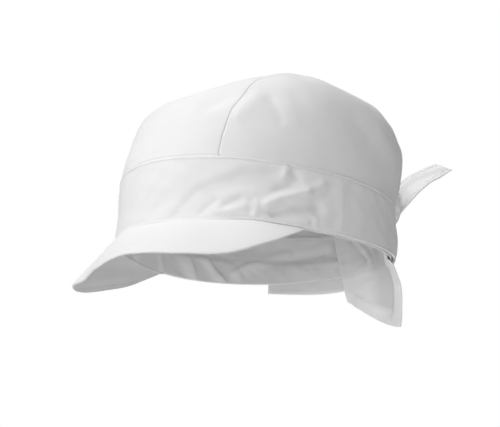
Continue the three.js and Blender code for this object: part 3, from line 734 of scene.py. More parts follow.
# Width and push in millimetres, then the path as (turn, share of the height).
BAND_STROKES = [
    # the long crescent, steep on its upper side, and the swell inside it
    ((3.2, 11.0), -1.25, [
        (24.8, 0), (28, 0.17), (33, 0.38), (38, 0.50), (43, 0.57), (48, 0.65), (54, 0.74), (61, 0.78),
    ]),
    ((3.0, 4.0), 0.35, [(43, 0.36), (50, 0.42), (56, 0.46)]),
    # the upright ridge under the top edge, and the pocket behind it
    ((2.4, 2.2), 1.1, [(68.0, 1.0), (67.9, 0.88), (67.4, 0.79)]),
    ((3.4, 3.4), -1.6, [(71.4, 0.84), (72.6, 0.76), (70.4, 0.70), (68.6, 0.63), (66.0, 0.56)]),
    ((2.6, 3.0), -0.6, [(64.5, 0.54), (62.5, 0.46)]),
    # the slanting ridge with a long hollow under it
    ((3.2, 3.8), 2.4, [(60.6, 0.27), (63.6, 0.36), (66.6, 0.43), (70.0, 0.48), (73.2, 0.53), (76.0, 0.57)]),
    ((3.0, 3.4), 1.0, [(77.5, 0.62), (80.2, 0.68), (83.0, 0.76)]),
    ((4.5, 5.5), -2.4, [(64, 0.17), (70, 0.26), (76, 0.33), (81, 0.38)]),
    ((3.0, 4.0), -0.7, [(80, 0.48), (84, 0.58), (87, 0.70)]),
    (8.0, -0.6, [(84, 0.50), (87, 0.40), (90, 0.30)]),
    # short creases over the lower edge
    ((1.7, 1.5), 0.55, [(57.0, 0.32), (56.8, 0.20), (56.4, 0.09)]),
    ((2.0, 1.6), -0.55, [(54.4, 0.30), (54.0, 0.18), (54.0, 0.08)]),
    ((1.6, 2.4), -0.55, [(60.0, 0.20), (59.6, 0.10)]),
    ((2.6, 2.2), -0.7, [(41.2, 0.27), (38.0, 0.16), (35.4, 0.05)]),
    ((2.6, 2.4), -0.8, [(50.5, 0.33), (47.5, 0.26), (45.0, 0.19)]),
    ((2.0, 2.6), 0.8, [(54, 0.21), (48, 0.14), (42, 0.07)]),
    ((3.0, 1.4), 0.8, [(46, 0.045), (58, 0.05), (68, 0.06), (77, 0.07)]),
    ((1.6, 1.6), 0.5, [(78.6, 0.24), (80.6, 0.20), (80.8, 0.12), (80.2, 0.03)]),
    ((1.3, 1.3), -0.6, [(78.4, 0.13), (78.2, 0.06)]),
    # the step behind the crumpled part
    ((4.5, 2.2), 0.45, [(91.4, 0.06), (92.6, 0.3), (92.4, 0.80)]),
    ((2.0, 7.0), -0.25, [(95.5, 0.05), (97, 0.3), (96.5, 0.8)]),
    # faint folds on the front and on the far side
    (8.0, 0.35, [(2, 0.5), (14, 0.6)]),
    (5.0, -0.35, [(14, 0.16), (24, 0.30), (30, 0.36)]),
    (3.0, -0.45, [(-30, 0.55), (-44, 0.48), (-58, 0.55)]),
    (3.6, 0.55, [(-34, 0.36), (-50, 0.30)]),
    ((3.0, 4.5), 1.2, [(-62, 0.50), (-70, 0.62), (-80, 0.72)]),
    ((4.0, 3.0), -1.2, [(-84, 0.50), (-93, 0.62), (-98, 0.80)]),
    ((3.0, 4.0), 1.2, [(-100, 0.46), (-110, 0.58), (-120, 0.74)]),
    ((4.0, 3.0), -1.2, [(-112, 0.46), (-124, 0.50), (-136, 0.62)]),
    ((3.0, 5.0), 1.0, [(-130, 0.42), (-142, 0.48), (-154, 0.60)]),
    ((5.0, 3.0), -1.0, [(-146, 0.66), (-156, 0.78)]),
    (9.5, 1.9, [(136, 0.36), (148, 0.36), (158, 0.36)]),
    (4.0, -0.6, [(150, 0.45), (163, 0.52), (174, 0.48)]),
    (3.6, 0.6, [(154, 0.25), (170, 0.30)]),
    (4.0, -0.5, [(195, 0.40), (208, 0.50)]),
    (3.4, 0.5, [(214, 0.62), (224, 0.45)]),
]
BAND_FREE = (0.25, 5.5)
BAND_SLACK = [(0.16, 30.0, 21), (0.08, 11.0, 22)]
LAP_SLACK = [(0.10, 30.0, 21)]
TOP_STITCH, END_STITCH = 1.95, 2.0
# along an edge: height of a ridge or groove, its distance from the edge, its width
TOP_EDGE = [(0.30, 0.9, 0.7), (-0.30, TOP_STITCH, 0.6)]
LOW_EDGE = [(0.22, 0.7, 0.8), (-0.12, 2.3, 0.6)]
SQUARE_END = [(-0.40, END_STITCH, 0.45)]
WORN_FROM, WORN_FADE = 37.0, 8.0
STITCH_PUCKER, PUCKER_LENGTH, PUCKER_SEED, PUCKER_DOWN = 0.07, 7.0, 23, 2.5


def band_out(turn):
    """The inner end of the strip lies one layer further in."""
    return -LAYER_STEP * smooth((LAYER_RAMP[0] - turn) / (LAYER_RAMP[0] - LAYER_RAMP[1]))


def band_surface(turn, level, out=0.0):
    """Outer face of the band with its folds, for the cloth and for the thread on it."""
    turn, level = np.broadcast_arrays(np.asarray(turn, float), np.asarray(level, float))
    plain = band_place(turn, level)
    up, down = level * BAND_HEIGHT, (1 - level) * BAND_HEIGHT
    lapped = (turn > LAP_DROPS[0, 0]) | (turn < LAYER_RAMP[1])
    push = stroke_push(plain, BAND_STROKES, level_band)
    push += slack(plain, BAND_SLACK) + lapped * slack(plain, LAP_SLACK)
    push *= freed(np.minimum(down, up), *BAND_FREE)
    push += smooth((np.abs(turn) - WORN_FROM) / WORN_FADE) * ridges(down, TOP_EDGE) + ridges(up, LOW_EDGE)
    pucker = STITCH_PUCKER * waves(plain * [1, 1, 0.1], PUCKER_LENGTH, PUCKER_SEED)
    push += pucker * groove(down, PUCKER_DOWN, PUCKER_DOWN)
    push += ridges((BAND_END - turn) * RAD * BAND_RADIUS, SQUARE_END)
    point = band_place(turn, level, band_out(turn) + out + push)
    point[..., 2] -= look_up(LAP_DROPS, np.maximum(turn, LAP_DROPS[0, 0]))[..., 0]
    return point


# %% The band's cloth
FINE_ROWS = np.array([
    0, 0.05, 0.18, 0.4, 0.7, 1.0, 1.25, 1.5, 1.75, 2.0, 2.3, 2.6, 2.95, 3.35, 3.9, 4.6,
])
PLAIN_ROWS = np.linspace(5.5, BAND_HEIGHT - 5.5, 31)
LOW_ROUND, TOP_ROUND, END_ROUND = 0.8, 1.3, 1.2
BAND_STEP = 1.15


def headband():
    """The band, with its rows closest where the hems are."""
    length = (BAND_END - BAND_START) * RAD * BAND_RADIUS
    turn = BAND_START + stations(length, BAND_STEP, END_ROUND, END_ROUND) / BAND_RADIUS / RAD
    up = np.concatenate([FINE_ROWS, PLAIN_ROWS, BAND_HEIGHT - FINE_ROWS[::-1]])
    across, height = np.meshgrid(turn, up / BAND_HEIGHT, indexing="ij")
    outer = band_surface(across, height)
    normals = grid_normals(outer)
    hem = np.minimum(height, 1 - height) * BAND_HEIGHT
    ends = np.minimum(across - BAND_START, BAND_END - across) * RAD * BAND_RADIUS
    thick = BAND_CLOTH * rounded(hem, mix(LOW_ROUND, TOP_ROUND, height > 0.5)) * rounded(ends, END_ROUND)
    return wall("band", outer - normals * (BAND_CLOTH / 2), normals, thick)


band = report(headband())

# %% [markdown]
# ## The sweatband
#
# Inside the band lies a narrow strip of softer cloth that keeps the head dry. It is sewn to the lower
# edge and is hemmed at the top. It has no elastic, so where the head has pushed it about it lies in
# slanting wrinkles. It is a closed ring, so its grid is joined end to end.

# %% Sweatband
SWEATBAND_CLOTH = 0.9
SWEATBAND_HEIGHT = 19.0
SWEATBAND_COLUMNS, SWEATBAND_STEP = 520, 0.75
SWEATBAND_LOW = {"drop": 3.6, "from": -122.0, "fade": 30.0}
SWEATBAND_RAMP = (152.0, 166.0)
SWEATBAND_IN = -3.0
SWEATBAND_FREE = (0.45, 4.0)
SWEATBAND_HEM = {"zone": 5.0, "thin": 0.5, "step": 3.5, "fade": 3.0, "round": 0.6, "calm": 0.85}
SWEAT_SLACK = [(0.22, 13.0, 31), (0.06, 6.0, 32)]
RIM_SLACK = [(0.3, 34.0, 33)]
HEM_DOWN = 2.4
SEWN_GAP = 0.45
LEAST_GAP, GAP_BEND = 0.15, 0.1
# painted shade: the sweatband's white is darkened where it lies flat, and is full white where a fold stands
# this far towards the head
FLAT_SHADE_TONE, RIDGE_RISE = 0.92, 2.4
SWEAT_STROKES = [
    # pushed in towards the head where the number is below 0; the steep side of a fold is its dark side
    ((3.0, 2.4), -1.6, [(-71.5, 0.45), (-73.0, 0.3), (-75.0, 0.02)]),
    ((7.5, 2.2), -2.9, [(-88.5, 0.47), (-90.0, 0.30), (-92.5, 0.02)]),
    ((2.2, 2.2), 0.9, [(-83.5, 0.16), (-85.5, 0.10), (-88.0, 0.02)]),
    ((4.2, 1.8), -2.7, [(-96.5, 0.46), (-100.5, 0.26), (-106.5, 0.02)]),
    ((4.5, 2.5), -1.3, [(-110.5, 0.30), (-113.5, 0.12)]),
    ((5.0, 1.8), -1.6, [(-110.5, 0.20), (-116, 0.33), (-123, 0.42)]),
    ((3.0, 3.0), 0.4, [(-131, 0.34), (-136, 0.20), (-139, 0.06)]),
    ((3.0, 3.0), -0.5, [(-138, 0.36), (-145, 0.20), (-149, 0.06)]),
    ((3.4, 3.4), -1.2, [(-66, 0.45), (-60, 0.25), (-55, 0.06)]),
    ((3.0, 3.0), 0.8, [(-48, 0.36), (-41, 0.12)]),
    ((3.4, 3.4), -1.0, [(-18, 0.42), (-9, 0.22), (2, 0.06)]),
    ((3.0, 3.0), 0.7, [(14, 0.36), (22, 0.14)]),
    ((3.4, 3.4), -1.0, [(38, 0.38), (46, 0.18), (52, 0.04)]),
    ((3.0, 3.0), 0.7, [(62, 0.36), (70, 0.12)]),
    ((3.2, 3.2), -1.0, [(84, 0.38), (90, 0.2), (94, 0.06)]),
    ((3.0, 3.0), 0.7, [(108, 0.32), (116, 0.1)]),
    ((3.4, 3.4), -0.9, [(138, 0.38), (146, 0.2), (152, 0.06)]),
    ((3.0, 3.0), 0.7, [(166, 0.3), (176, 0.14)]),
]


def band_inner_face(turn):
    """Inner face of the band, as a distance from its outer oval."""
    left = smooth((turn - SWEATBAND_RAMP[0]) / (SWEATBAND_RAMP[1] - SWEATBAND_RAMP[0]))
    right = smooth((LAYER_RAMP[0] - turn) / (LAYER_RAMP[0] - LAYER_RAMP[1]))
    return -BAND_CLOTH - LAYER_STEP * np.maximum(left, right)


def sweatband_surface(turn, rise, inward=0.0):
    """Face of the sweatband that touches the head, and how far each place stands out from the band."""
    turn, rise = np.broadcast_arrays(np.asarray(turn, float), np.asarray(rise, float))
    level = rise / BAND_HEIGHT

    def place(turn, level):
        return band_place(turn, level, SWEATBAND_IN)

    plain = rim(turn, SWEATBAND_IN) + np.stack([0 * rise, 0 * rise, rise], -1)
    push = stroke_push(place(turn, level), SWEAT_STROKES, place) + slack(plain, SWEAT_SLACK)
    push *= freed(rise, *SWEATBAND_FREE)
    push = 0.5 * (push - LEAST_GAP - np.sqrt((push - LEAST_GAP) ** 2 + GAP_BEND))
    folded = stroke_push(band_place(turn, level), BAND_STROKES, level_band) * freed(rise, *BAND_FREE)
    at_hem = smooth((rise - SWEATBAND_HEIGHT) / SWEATBAND_HEM["zone"] + 1)
    push *= 1 - SWEATBAND_HEM["calm"] * at_hem
    face = band_inner_face(turn) - SEWN_GAP * (1 - at_hem) + folded
    point = oval(RIM, turn, face + push - inward)
    lower = SWEATBAND_LOW["drop"] * smooth((SWEATBAND_LOW["from"] - turn) / SWEATBAND_LOW["fade"])
    point[..., 2] += rise - rim_dip(turn) * (1 - level)
    point[..., 2] += smooth(rise / SWEATBAND_HEIGHT) * (slack(plain * [1, 1, 0], RIM_SLACK) - lower)
    return point, -push


def sweatband():
    turn = np.linspace(-180, 180, SWEATBAND_COLUMNS + 1)[:-1]
    hem = SWEATBAND_HEM
    rise = stations(SWEATBAND_HEIGHT, SWEATBAND_STEP, hem["round"], hem["round"])
    across, height = np.meshgrid(turn, rise, indexing="ij")
    full = SWEATBAND_CLOTH - hem["thin"] * smooth((height - SWEATBAND_HEIGHT + hem["step"]) / hem["fade"])
    thick = full * rounded(np.minimum(height, SWEATBAND_HEIGHT - height), hem["round"])
    outer, raised = sweatband_surface(across, height)
    normals = grid_normals(outer, loop=True)
    normals = normals * np.sign(np.sum(normals * (outer - CORE)))
    # painted shade on the flat sweatband between its raised folds
    tone = mix(FLAT_SHADE_TONE, 1.0, smooth(raised / RIDGE_RISE))
    middle = outer - normals * (full / 2)[..., None]
    return wall("inner_band", middle, normals, thick, loop=True, tone=tone)


inner_band = report(sweatband())

# %% [markdown]
# ## The peak
#
# The short peak is two layers of cloth over a thin stiffener, less than two millimetres thick, with a
# round edge. It springs from under the band, falls steeply at first and flattens towards its edge. One
# sheet with a thickness gives it, and a swell that is different on top and underneath keeps it from
# looking like sheet metal.

# %% Peak
PEAK_THICKNESS = 1.6
PEAK_ROWS = np.array([
    # turn, length, droop of the chord in degrees
    [-76, 0, 48.3], [-62, 18.7, 48.3], [-46, 35.0, 42.0], [-30, 38.4, 45.1], [-15, 38.5, 53.7],
    [0, 38.6, 48.7], [15, 38.5, 41.5], [30, 38.4, 42.3], [46, 35.0, 47.6], [62, 18.7, 48.8], [76, 0, 48.8],
])
PEAK_COLUMNS = 271
PEAK_HOLLOW = -5.3
PEAK_ROOT = 3.4
PEAK_GAP = -0.15
PEAK_BLEND = {"up": 0.6, "end": 42.0, "fade": 16.0}
PEAK_PROUD = 0.15
PEAK_STITCH = 5.0
# painted shade: the underside of the peak is the same cloth as its top, darkened
UNDERSIDE_SHADE = 0.80
PEAK_SLACK = [(0.22, 48.0, 41), (0.07, 15.0, 42)]
LINING_SLACK = [(0.25, 22.0, 43)]
LINING_SEWN, LINING_EDGE = 5.0, 6.0
PEAK_THIN, PEAK_FULL_AT = 0.6, 20.0
UNDERSIDE_STROKES = [
    # width, depth, path as (turn, share of the length)
    (5.0, 0.7, [(-60, 0.5), (-48, 0.66), (-34, 0.8)]),
    (6.0, -0.6, [(-52, 0.3), (-36, 0.45), (-20, 0.55)]),
    (5.0, 0.5, [(0, 0.7), (14, 0.55), (30, 0.5)]),
    (5.0, -0.5, [(30, 0.75), (44, 0.7)]),
]


def peak_place(turn, share):
    turn, share = np.broadcast_arrays(np.asarray(turn, float), np.asarray(share, float))
    length, droop = np.moveaxis(look_up(PEAK_ROWS, turn), -1, 0)
    angle = (droop + PEAK_HOLLOW * (1 - share)) * RAD
    run = share * np.maximum(length, 0)
    point = rim(turn, run * np.cos(angle) + PEAK_PROUD)
    blend = PEAK_BLEND["up"] * smooth((PEAK_BLEND["end"] - np.abs(turn)) / PEAK_BLEND["fade"])
    point[..., 2] -= run * np.sin(angle) + PEAK_GAP - blend * (1 - share)
    return point


def peak_top(turn, share):
    """Upper face of the peak, with the slack of its cloth."""
    point = peak_place(turn, share)
    point[..., 2] += slack(point, PEAK_SLACK)
    return point


def peak():
    """Upper face, then the thickness under it with the swell of the lining, then the strip sewn in."""
    turn = np.linspace(PEAK_ROWS[0, 0], PEAK_ROWS[-1, 0], PEAK_COLUMNS)
    share = stations(1.0, 1 / 42, 0, 1 / 26)
    across, out = np.meshgrid(turn, share, indexing="ij")
    top = peak_top(across, out)
    flat = np.stack([rim(turn, -PEAK_ROOT * step) for step in (1.0, 0.5)], 1)
    flat[..., 2] -= PEAK_GAP
    length = look_up(PEAK_ROWS, across)[..., 0]
    edge = (1 - out) * length
    lining = stroke_push(top, UNDERSIDE_STROKES, peak_place) + slack(top, LINING_SLACK)
    lining *= smooth(out * length / LINING_SEWN) * smooth(edge / LINING_EDGE)
    depth = PEAK_THICKNESS * freed(length, PEAK_THIN, PEAK_FULL_AT) + lining
    depth -= 0.25 * groove(edge, PEAK_STITCH, 0.5)
    thick = depth * rounded(edge, PEAK_THICKNESS / 2)
    normals = grid_normals(top)
    normals = normals * np.sign(normals[..., 2].sum())
    middle = top - normals * (depth / 2)[..., None]
    root_normals = np.broadcast_to([0.0, 0, 1], flat.shape)
    middle = np.concatenate([flat - root_normals * (depth[:, :1, None] / 2), middle], 1)
    normals = np.concatenate([root_normals, normals], 1)
    thick = np.concatenate([depth[:, :1], depth[:, :1], thick], 1)
    tone = np.ones(thick.shape)
    # the underside of the peak gets painted shade
    return wall("peak_cloth", middle, normals, thick, tone=tone, tone_under=tone * UNDERSIDE_SHADE)


peak_cloth = report(peak())

# %% [markdown]
# ## The tail at the neck
#
# At the back a piece of the bandana hangs down over the neck. We look at its inner face, where the hems
# show: the edge is turned over and sewn down, so that a strip about ten millimetres wide is twice as
# thick. The single cloth beside the side hem is darkened with painted shade, so the hem looks brighter.
# Its lower edge is cut on a slant. The cloth hangs in soft slanting creases from where it is sewn in.

# %% Neck tail
TAIL_CLOTH = 0.8
TAIL_TOP = 34.0
TAIL_ROWS = np.array([
    # height, far edge, near edge, depth, roundness
    [-42.0, -15.0, 36.3, 102.4, 0.0010], [-32.0, -15.2, 39.2, 101.4, 0.0015],
    [-22.0, -15.4, 42.3, 100.4, 0.0022], [-15.0, -15.6, 45.2, 99.3, 0.0033],
    [-8.0, -16.0, 48.0, 97.8, 0.0053], [-5.0, -16.1, 50.0, 97.3, 0.0062],
    [-2.5, -16.3, 51.2, 96.9, 0.0072], [0.6, -16.6, 49.0, 96.2, 0.0084],
    [14.0, -19.0, 45.6, 96.2, 0.0093], [34.0, -22.5, 44.0, 96.6, 0.0096],
])
TAIL_ENDS = (-16.1, -41.7)
TAIL_CUT_CURVE = 1.55
TAIL_HEM = 10.0
HEM_STITCH = 8.8
# how gently the cloth steps up on to its side hem and its foot hem, and how much thicker it is there
SIDE_STEP, FOOT_STEP, HEM_EXTRA = 0.9, 4.0, 0.9
FOOT_SLANT = 0.93
TAIL_EDGE = 0.8
# painted shade: the single cloth darkens across the near half of the tail, towards its side hem, where the
# fold turns away from the light
FOLD_SHADE_TONE, FOLD_SHADE_FROM, FOLD_SHADE_FADE = 0.76, 0.36, 0.28
TAIL_SLACK = [(0.25, 26.0, 51), (0.10, 9.0, 52)]
TAIL_SEWN = 6.0
TAIL_STROKES = [
    # width, push away from the neck, path as (x, z)
    ((2.4, 2.4), 1.5, [(-10.2, 28.9), (-2.2, 20.8), (8.9, 11.4)]),
    ((2.2, 2.2), -1.1, [(-4.6, 29.5), (-1.4, 25.1), (6, 17.5), (12.6, 10.6)]),
    ((2.2, 2.2), 0.9, [(7.0, 21.8), (14.4, 14.2), (18, 8)]),
    ((3.4, 3.4), -0.9, [(13, 24), (20, 15), (24, 6)]),
    # the hollow beside the side hem, and the swell in the middle of the cloth
    ((7.0, 2.0), 3.0, [(38.6, 4), (37.6, -5), (33.6, -14), (30.4, -21), (28.0, -29)]),
    ((9.0, 7.0), -2.0, [(4, 4), (9, -8), (13, -20)]),
    ((3.0, 4.0), 0.9, [(-12, 6), (-9, -4), (-8, -12)]),
    ((3.0, 3.0), -0.6, [(-15, 10), (-13, 0), (-12, -8)]),
]


def tail_place(x, z):
    depth, bow = np.moveaxis(look_up(TAIL_ROWS, np.asarray(z, float))[..., 2:], -1, 0)
    return np.stack([x, depth - bow * x * x, z], -1)


def tail_grid(share, rise):
    """Where a share across and a share up the uncreased tail lies, and how wide and long it is there."""
    end = mix(TAIL_ENDS[0], TAIL_ENDS[1], 1 - (1 - share) ** TAIL_CUT_CURVE)
    z = mix(end, TAIL_TOP, rise)
    far, near = np.moveaxis(look_up(TAIL_ROWS, z)[..., :2], -1, 0)
    return mix(far, near, share), z, near - far, TAIL_TOP - end


def tail_surface(share, rise):
    """The tail's outer face with its creases."""
    share, rise = np.broadcast_arrays(np.asarray(share, float), np.asarray(rise, float))
    x, z = tail_grid(share, rise)[:2]
    point = tail_place(x, z)
    fade = smooth((TAIL_TOP - z) / TAIL_SEWN)
    point[..., 1] += fade * stroke_push(point, TAIL_STROKES, tail_place)
    point[..., 1] += fade * slack(point, TAIL_SLACK)
    return point


def neck_tail():
    """The tail, twice as thick along its side hem and its foot hem."""
    share = stations(1.0, 1 / 76, 1 / 80, 1 / 80)
    rise = stations(1.0, 1 / 84, 1 / 90, 0)
    across, up = np.meshgrid(share, rise, indexing="ij")
    outer = tail_surface(across, up)
    width, length = tail_grid(across, up)[2:]
    side, foot = (1 - across) * width, up * length * FOOT_SLANT
    hem = np.maximum(
        smooth((TAIL_HEM - side) / SIDE_STEP + 0.5), smooth((TAIL_HEM - foot) / FOOT_STEP + 0.5),
    )
    side_row = groove(side, HEM_STITCH, 0.5) * (foot > HEM_STITCH)
    sewn = np.maximum(side_row, groove(foot, HEM_STITCH, 0.5))
    full = TAIL_CLOTH * (1 + HEM_EXTRA * hem) - 0.3 * sewn
    thick = full * rounded(np.minimum(np.minimum(side, across * width), foot), TAIL_EDGE)
    normals = grid_normals(outer)
    normals = normals * np.sign(normals[..., 1].sum())
    # painted shade on the single cloth of the near half; the hems keep full white, and the stitch grooves
    # get a little painted shade
    fold_shade = mix(1.0, FOLD_SHADE_TONE, smooth((across - FOLD_SHADE_FROM) / FOLD_SHADE_FADE))
    tone = mix(fold_shade, 1.0, hem) - 0.03 * sewn
    return wall("neck_cloth", outer - normals * (full / 2)[..., None], normals, thick, tone=tone)


neck_cloth = report(neck_tail())

# %% [markdown]
# ## The ties
#
# Two straps come up from the band at the back and meet in a knot, and two free ends leave it, one up and
# one down. Each is the same folded strip. A strip that follows a line in space needs a middle line, a
# width and the way that it faces, in one row for each place. Near the knot the cloth is squeezed, so it
# lies in pleats that fade out.

# %% Strips of tie
TIE_CLOTH = 1.6
STRAP_WIDTH = 19.0
STRAP_LIFT = 1.75
SQUEEZE_START, SQUEEZE_LENGTH, SQUEEZED_TO = 0.35, 0.6, 0.74
STRAP_LEFT = np.array([[157, 33.0], [163, 38.5], [169, 44.5], [175, 50.5], [177.5, 53.0]])
STRAP_RIGHT = np.array([[211, 25], [200, 33], [188, 43.5], [176.5, 51.5], [174, 53.4]])
KNOT_PLACE = np.array([9.5, 118.4, 53.0])
KNOT_TURN = -6.0
KNOT_HALF = np.array([11.2, 5.8, 11.5])
TAIL_UP = {"cut": -7.8, "seed": 3, "route": np.array([
    # x, y, z, width, way it faces in degrees, tilt of that face upwards
    [1.2, 125.9, 50.9, 16.9, 5, -0.01], [6.7, 126.3, 57.9, 19.6, 6, 0.05],
    [14.7, 128.0, 65.1, 20.3, 15, 0.15], [21.8, 132.4, 72.1, 17.5, 28, 0.26],
    [27.6, 138.6, 77.6, 13.8, 39, 0.28], [32.8, 144.6, 81.4, 12.8, 42, 0.26],
    [39.2, 152.0, 86.2, 8.7, 42, 0.26],
])}
TAIL_DOWN = {"cut": 10.0, "seed": 8, "route": np.array([
    [4.5, 119.4, 40.6, 13.0, 174, 0.05], [1.5, 118.0, 33.0, 16.5, 174, 0.05],
    [-4.5, 115.6, 18.0, 18.0, 174, 0.05], [-11.5, 113.0, 1.0, 17.0, 174, 0.05],
])}
TIE_HEM = 2.2
TIE_EDGE = 0.8
PLEAT_REACH = 16.0
CURVE_STEPS = 200
TIE_RIDGES = [(-0.35, TIE_HEM, 0.4), (0.15, 1.0, 0.8)]
STRAP_RIDGES = [(-0.30, TIE_HEM, 0.4)]
STRAP_LENGTH = 46.0
LEFT_SEED, RIGHT_SEED = 71, 74


def along_rows(values, at):
    """Columns of a table at places counted in rows."""
    rows = np.arange(len(values))
    return np.stack([np.interp(at, rows, column) for column in values.T], -1)


def curve_through(points, count):
    """A smooth curve through points in even steps: places, tangents, place in the list, and its length."""
    first, last = 2 * points[0] - points[1], 2 * points[-1] - points[-2]
    full = np.concatenate([[first], points, [last]])
    knots = np.concatenate([[0], np.cumsum(np.linalg.norm(np.diff(full, axis=0), axis=1) ** 0.5)])
    fine = np.linspace(0, len(points) - 1, 40 * (len(points) - 1) + 1)
    places = []
    for at in fine:
        base = min(int(at), len(points) - 2)
        p, k = full[base:base + 4], knots[base:base + 4]
        t = mix(k[1], k[2], at - base)
        for reach in (1, 2):
            p = [
                mix(p[i], p[i + 1], (t - k[i]) / (k[i + reach] - k[i]))
                for i in range(4 - reach)
            ]
        places.append(mix(p[0], p[1], (t - k[1]) / (k[2] - k[1])))
    places = np.array(places)
    walked = np.concatenate([[0], np.cumsum(np.linalg.norm(np.diff(places, axis=0), axis=1))])
    at = np.interp(np.linspace(0, walked[-1], count), walked, np.arange(len(fine)))
    tangents = unit(along_rows(unit(np.gradient(places, axis=0)), at))
    return along_rows(places, at), tangents, np.interp(at, np.arange(len(fine)), fine), walked[-1]


def pleats(side, reach, depth, count, phase):
    """Ridges along a strip that fade as it leaves the knot."""
    wander = phase + 0.9 * np.sin(3.1 * reach + phase)
    return depth * np.sin(side * count * 2 * math.pi + wander) * smooth(side * 6) * smooth((1 - side) * 6)


def tie_surface(tail, along, across):
    """Places on a tie's end at a share along and across it, with its width there and the length left."""
    along, across = np.broadcast_arrays(np.asarray(along, float), np.asarray(across, float))
    route, cut, seed = tail["route"], tail["cut"], tail["seed"]
    even, tangents, at, length = curve_through(route[:, :3], CURVE_STEPS)
    shorter = cut * across if cut > 0 else -cut * (1 - across)
    reach = along * (1 - shorter / length)
    step = reach * (len(even) - 1)
    middle, tangent = along_rows(even, step), unit(along_rows(tangents, step))
    width, face, tilt = np.moveaxis(along_rows(route[:, 3:], along_rows(at[:, None], step)[..., 0]), -1, 0)
    facing = np.stack([np.sin(face * RAD), -np.cos(face * RAD), tilt], -1)
    sideways = unit(np.cross(facing, tangent))
    normal = unit(np.cross(tangent, sideways))
    point = middle + sideways * (width * (0.5 - across))[..., None]
    push = pleats(across, reach * 3, 0.9, 2.5, seed) * np.exp(-reach * length / PLEAT_REACH)
    push += pleats(across, reach * 2, 0.3, 1.3, seed + 2) * smooth(reach * 3)
    push += 0.16 * waves(point, 14.0, 60 + seed)
    return point + normal * push[..., None], normal, width, (1 - along) * length


def tie_wall(name, point, across, width, end, shape):
    """A strip of tie, hemmed along both sides and at its end."""
    hem = np.minimum(across, 1 - across) * width
    full = TIE_CLOTH + ridges(np.minimum(hem, end), shape)
    return wall(name, point, grid_normals(point), full * rounded(hem, TIE_EDGE) * rounded(end, TIE_EDGE))


def tie_end(name, tail):
    grid = stations(1.0, 1 / 90, 0, 1 / 60)
    side = stations(1.0, 1 / 26, 1 / 16, 1 / 16)
    along, across = np.meshgrid(grid, side, indexing="ij")
    point, _, width, end = tie_surface(tail, along, across)
    return tie_wall(name, point, across, width, end, TIE_RIDGES)


def wrap_point(turn, z, out):
    """A point at this distance outside the band and the foot of the crown."""
    rows = np.stack([RIM, BAND_TOP, CROWN_ROWS[1], CROWN_ROWS[2]])
    heights = np.stack([oval(row, turn)[..., 2] for row in rows])
    after = np.clip((heights < z).sum(0), 1, len(rows) - 1)
    low = np.take_along_axis(heights, (after - 1)[None], 0)[0]
    high = np.take_along_axis(heights, after[None], 0)[0]
    share = (z - low) / (high - low)
    point = oval(mix(rows[after - 1], rows[after], share[..., None]), turn, out)
    point[..., 2] = z
    return point


def strap_surface(route, seed, along, across):
    """Places on a strap over the band and the foot of the crown, squeezed where it goes into the knot."""
    along, across = np.broadcast_arrays(np.asarray(along, float), np.asarray(across, float))
    turn, middle = np.moveaxis(along_rows(route, along * (len(route) - 1)), -1, 0)
    squeeze = smooth((along - SQUEEZE_START) / SQUEEZE_LENGTH)
    width = STRAP_WIDTH * mix(1.0, SQUEEZED_TO, squeeze)
    z = middle + width * (across - 0.5)
    push = pleats(across, along, 0.85, 2.4, seed) * squeeze + pleats(across, along, 0.22, 1.0, seed + 1)
    point = wrap_point(turn, z, STRAP_LIFT)
    lift = STRAP_LIFT + 0.3 * squeeze + np.maximum(push, -0.6) + 0.08 * waves(point, 10.0, seed)
    return wrap_point(turn, z, lift), width


def strap(name, route, seed):
    grid = stations(1.0, 1 / 84, 1 / 50, 0)
    side = stations(1.0, 1 / 28, 1 / 20, 1 / 20)
    along, across = np.meshgrid(grid, side, indexing="ij")
    point, width = strap_surface(route, seed, along, across)
    return tie_wall(name, point, across, width, along * STRAP_LENGTH, STRAP_RIDGES)


ties = [
    strap("strap_cloth_left", STRAP_LEFT, LEFT_SEED),
    strap("strap_cloth_right", STRAP_RIGHT, RIGHT_SEED),
    tie_end("tie_end_up", TAIL_UP), tie_end("tie_end_down", TAIL_DOWN),
]
for piece in ties:
    report(piece)

# %% [markdown]
# ## The knot
#
# The knot is a small bundle: a folded core, and one turn of the tie pulled tight over it, slanting, which
# covers the places where the ends come out. The core is a rounded box whose surface is ridged in the
# direction that the cloth runs. The turn is a ring of folded cloth round it. Both lie in one mesh,
# because both are one knot.

# %% Knot
LOOP_WIDTH = 12.5
LOOP_THICKNESS = 2.4
LOOP_LEAN = 24.0
LOOP_FOLD, LOOP_ROUND = 0.42, 0.85
LOOP_SLACK = [(0.12, 7.0, 81)]
KNOT_ROUND = 0.8
CORE_RIDGE = 0.055
UNDER_LOOP = 0.9


def knot_turned(points):
    """From the knot's own axes to its place on the cap."""
    sin, cos = math.sin(KNOT_TURN * RAD), math.cos(KNOT_TURN * RAD)
    spin = np.array([[cos, -sin, 0], [sin, cos, 0], [0, 0, 1]])
    return points @ spin.T + KNOT_PLACE


def knot_core():
    down, turn = np.linspace(0, math.pi, 61), np.linspace(0, 2 * math.pi, 121)[:-1]
    down, turn = np.meshgrid(down, turn, indexing="ij")
    ball = np.stack([np.sin(down) * np.cos(turn), np.sin(down) * np.sin(turn), np.cos(down)], -1)
    boxy = np.sign(ball) * np.abs(ball) ** KNOT_ROUND
    wander = 9.0 * ball[..., 2] + 2.2 * ball[..., 0] + 1.1 * np.sin(3 * ball[..., 0])
    return boxy * (KNOT_HALF - UNDER_LOOP) * (1 + CORE_RIDGE * np.sin(wander)[..., None])


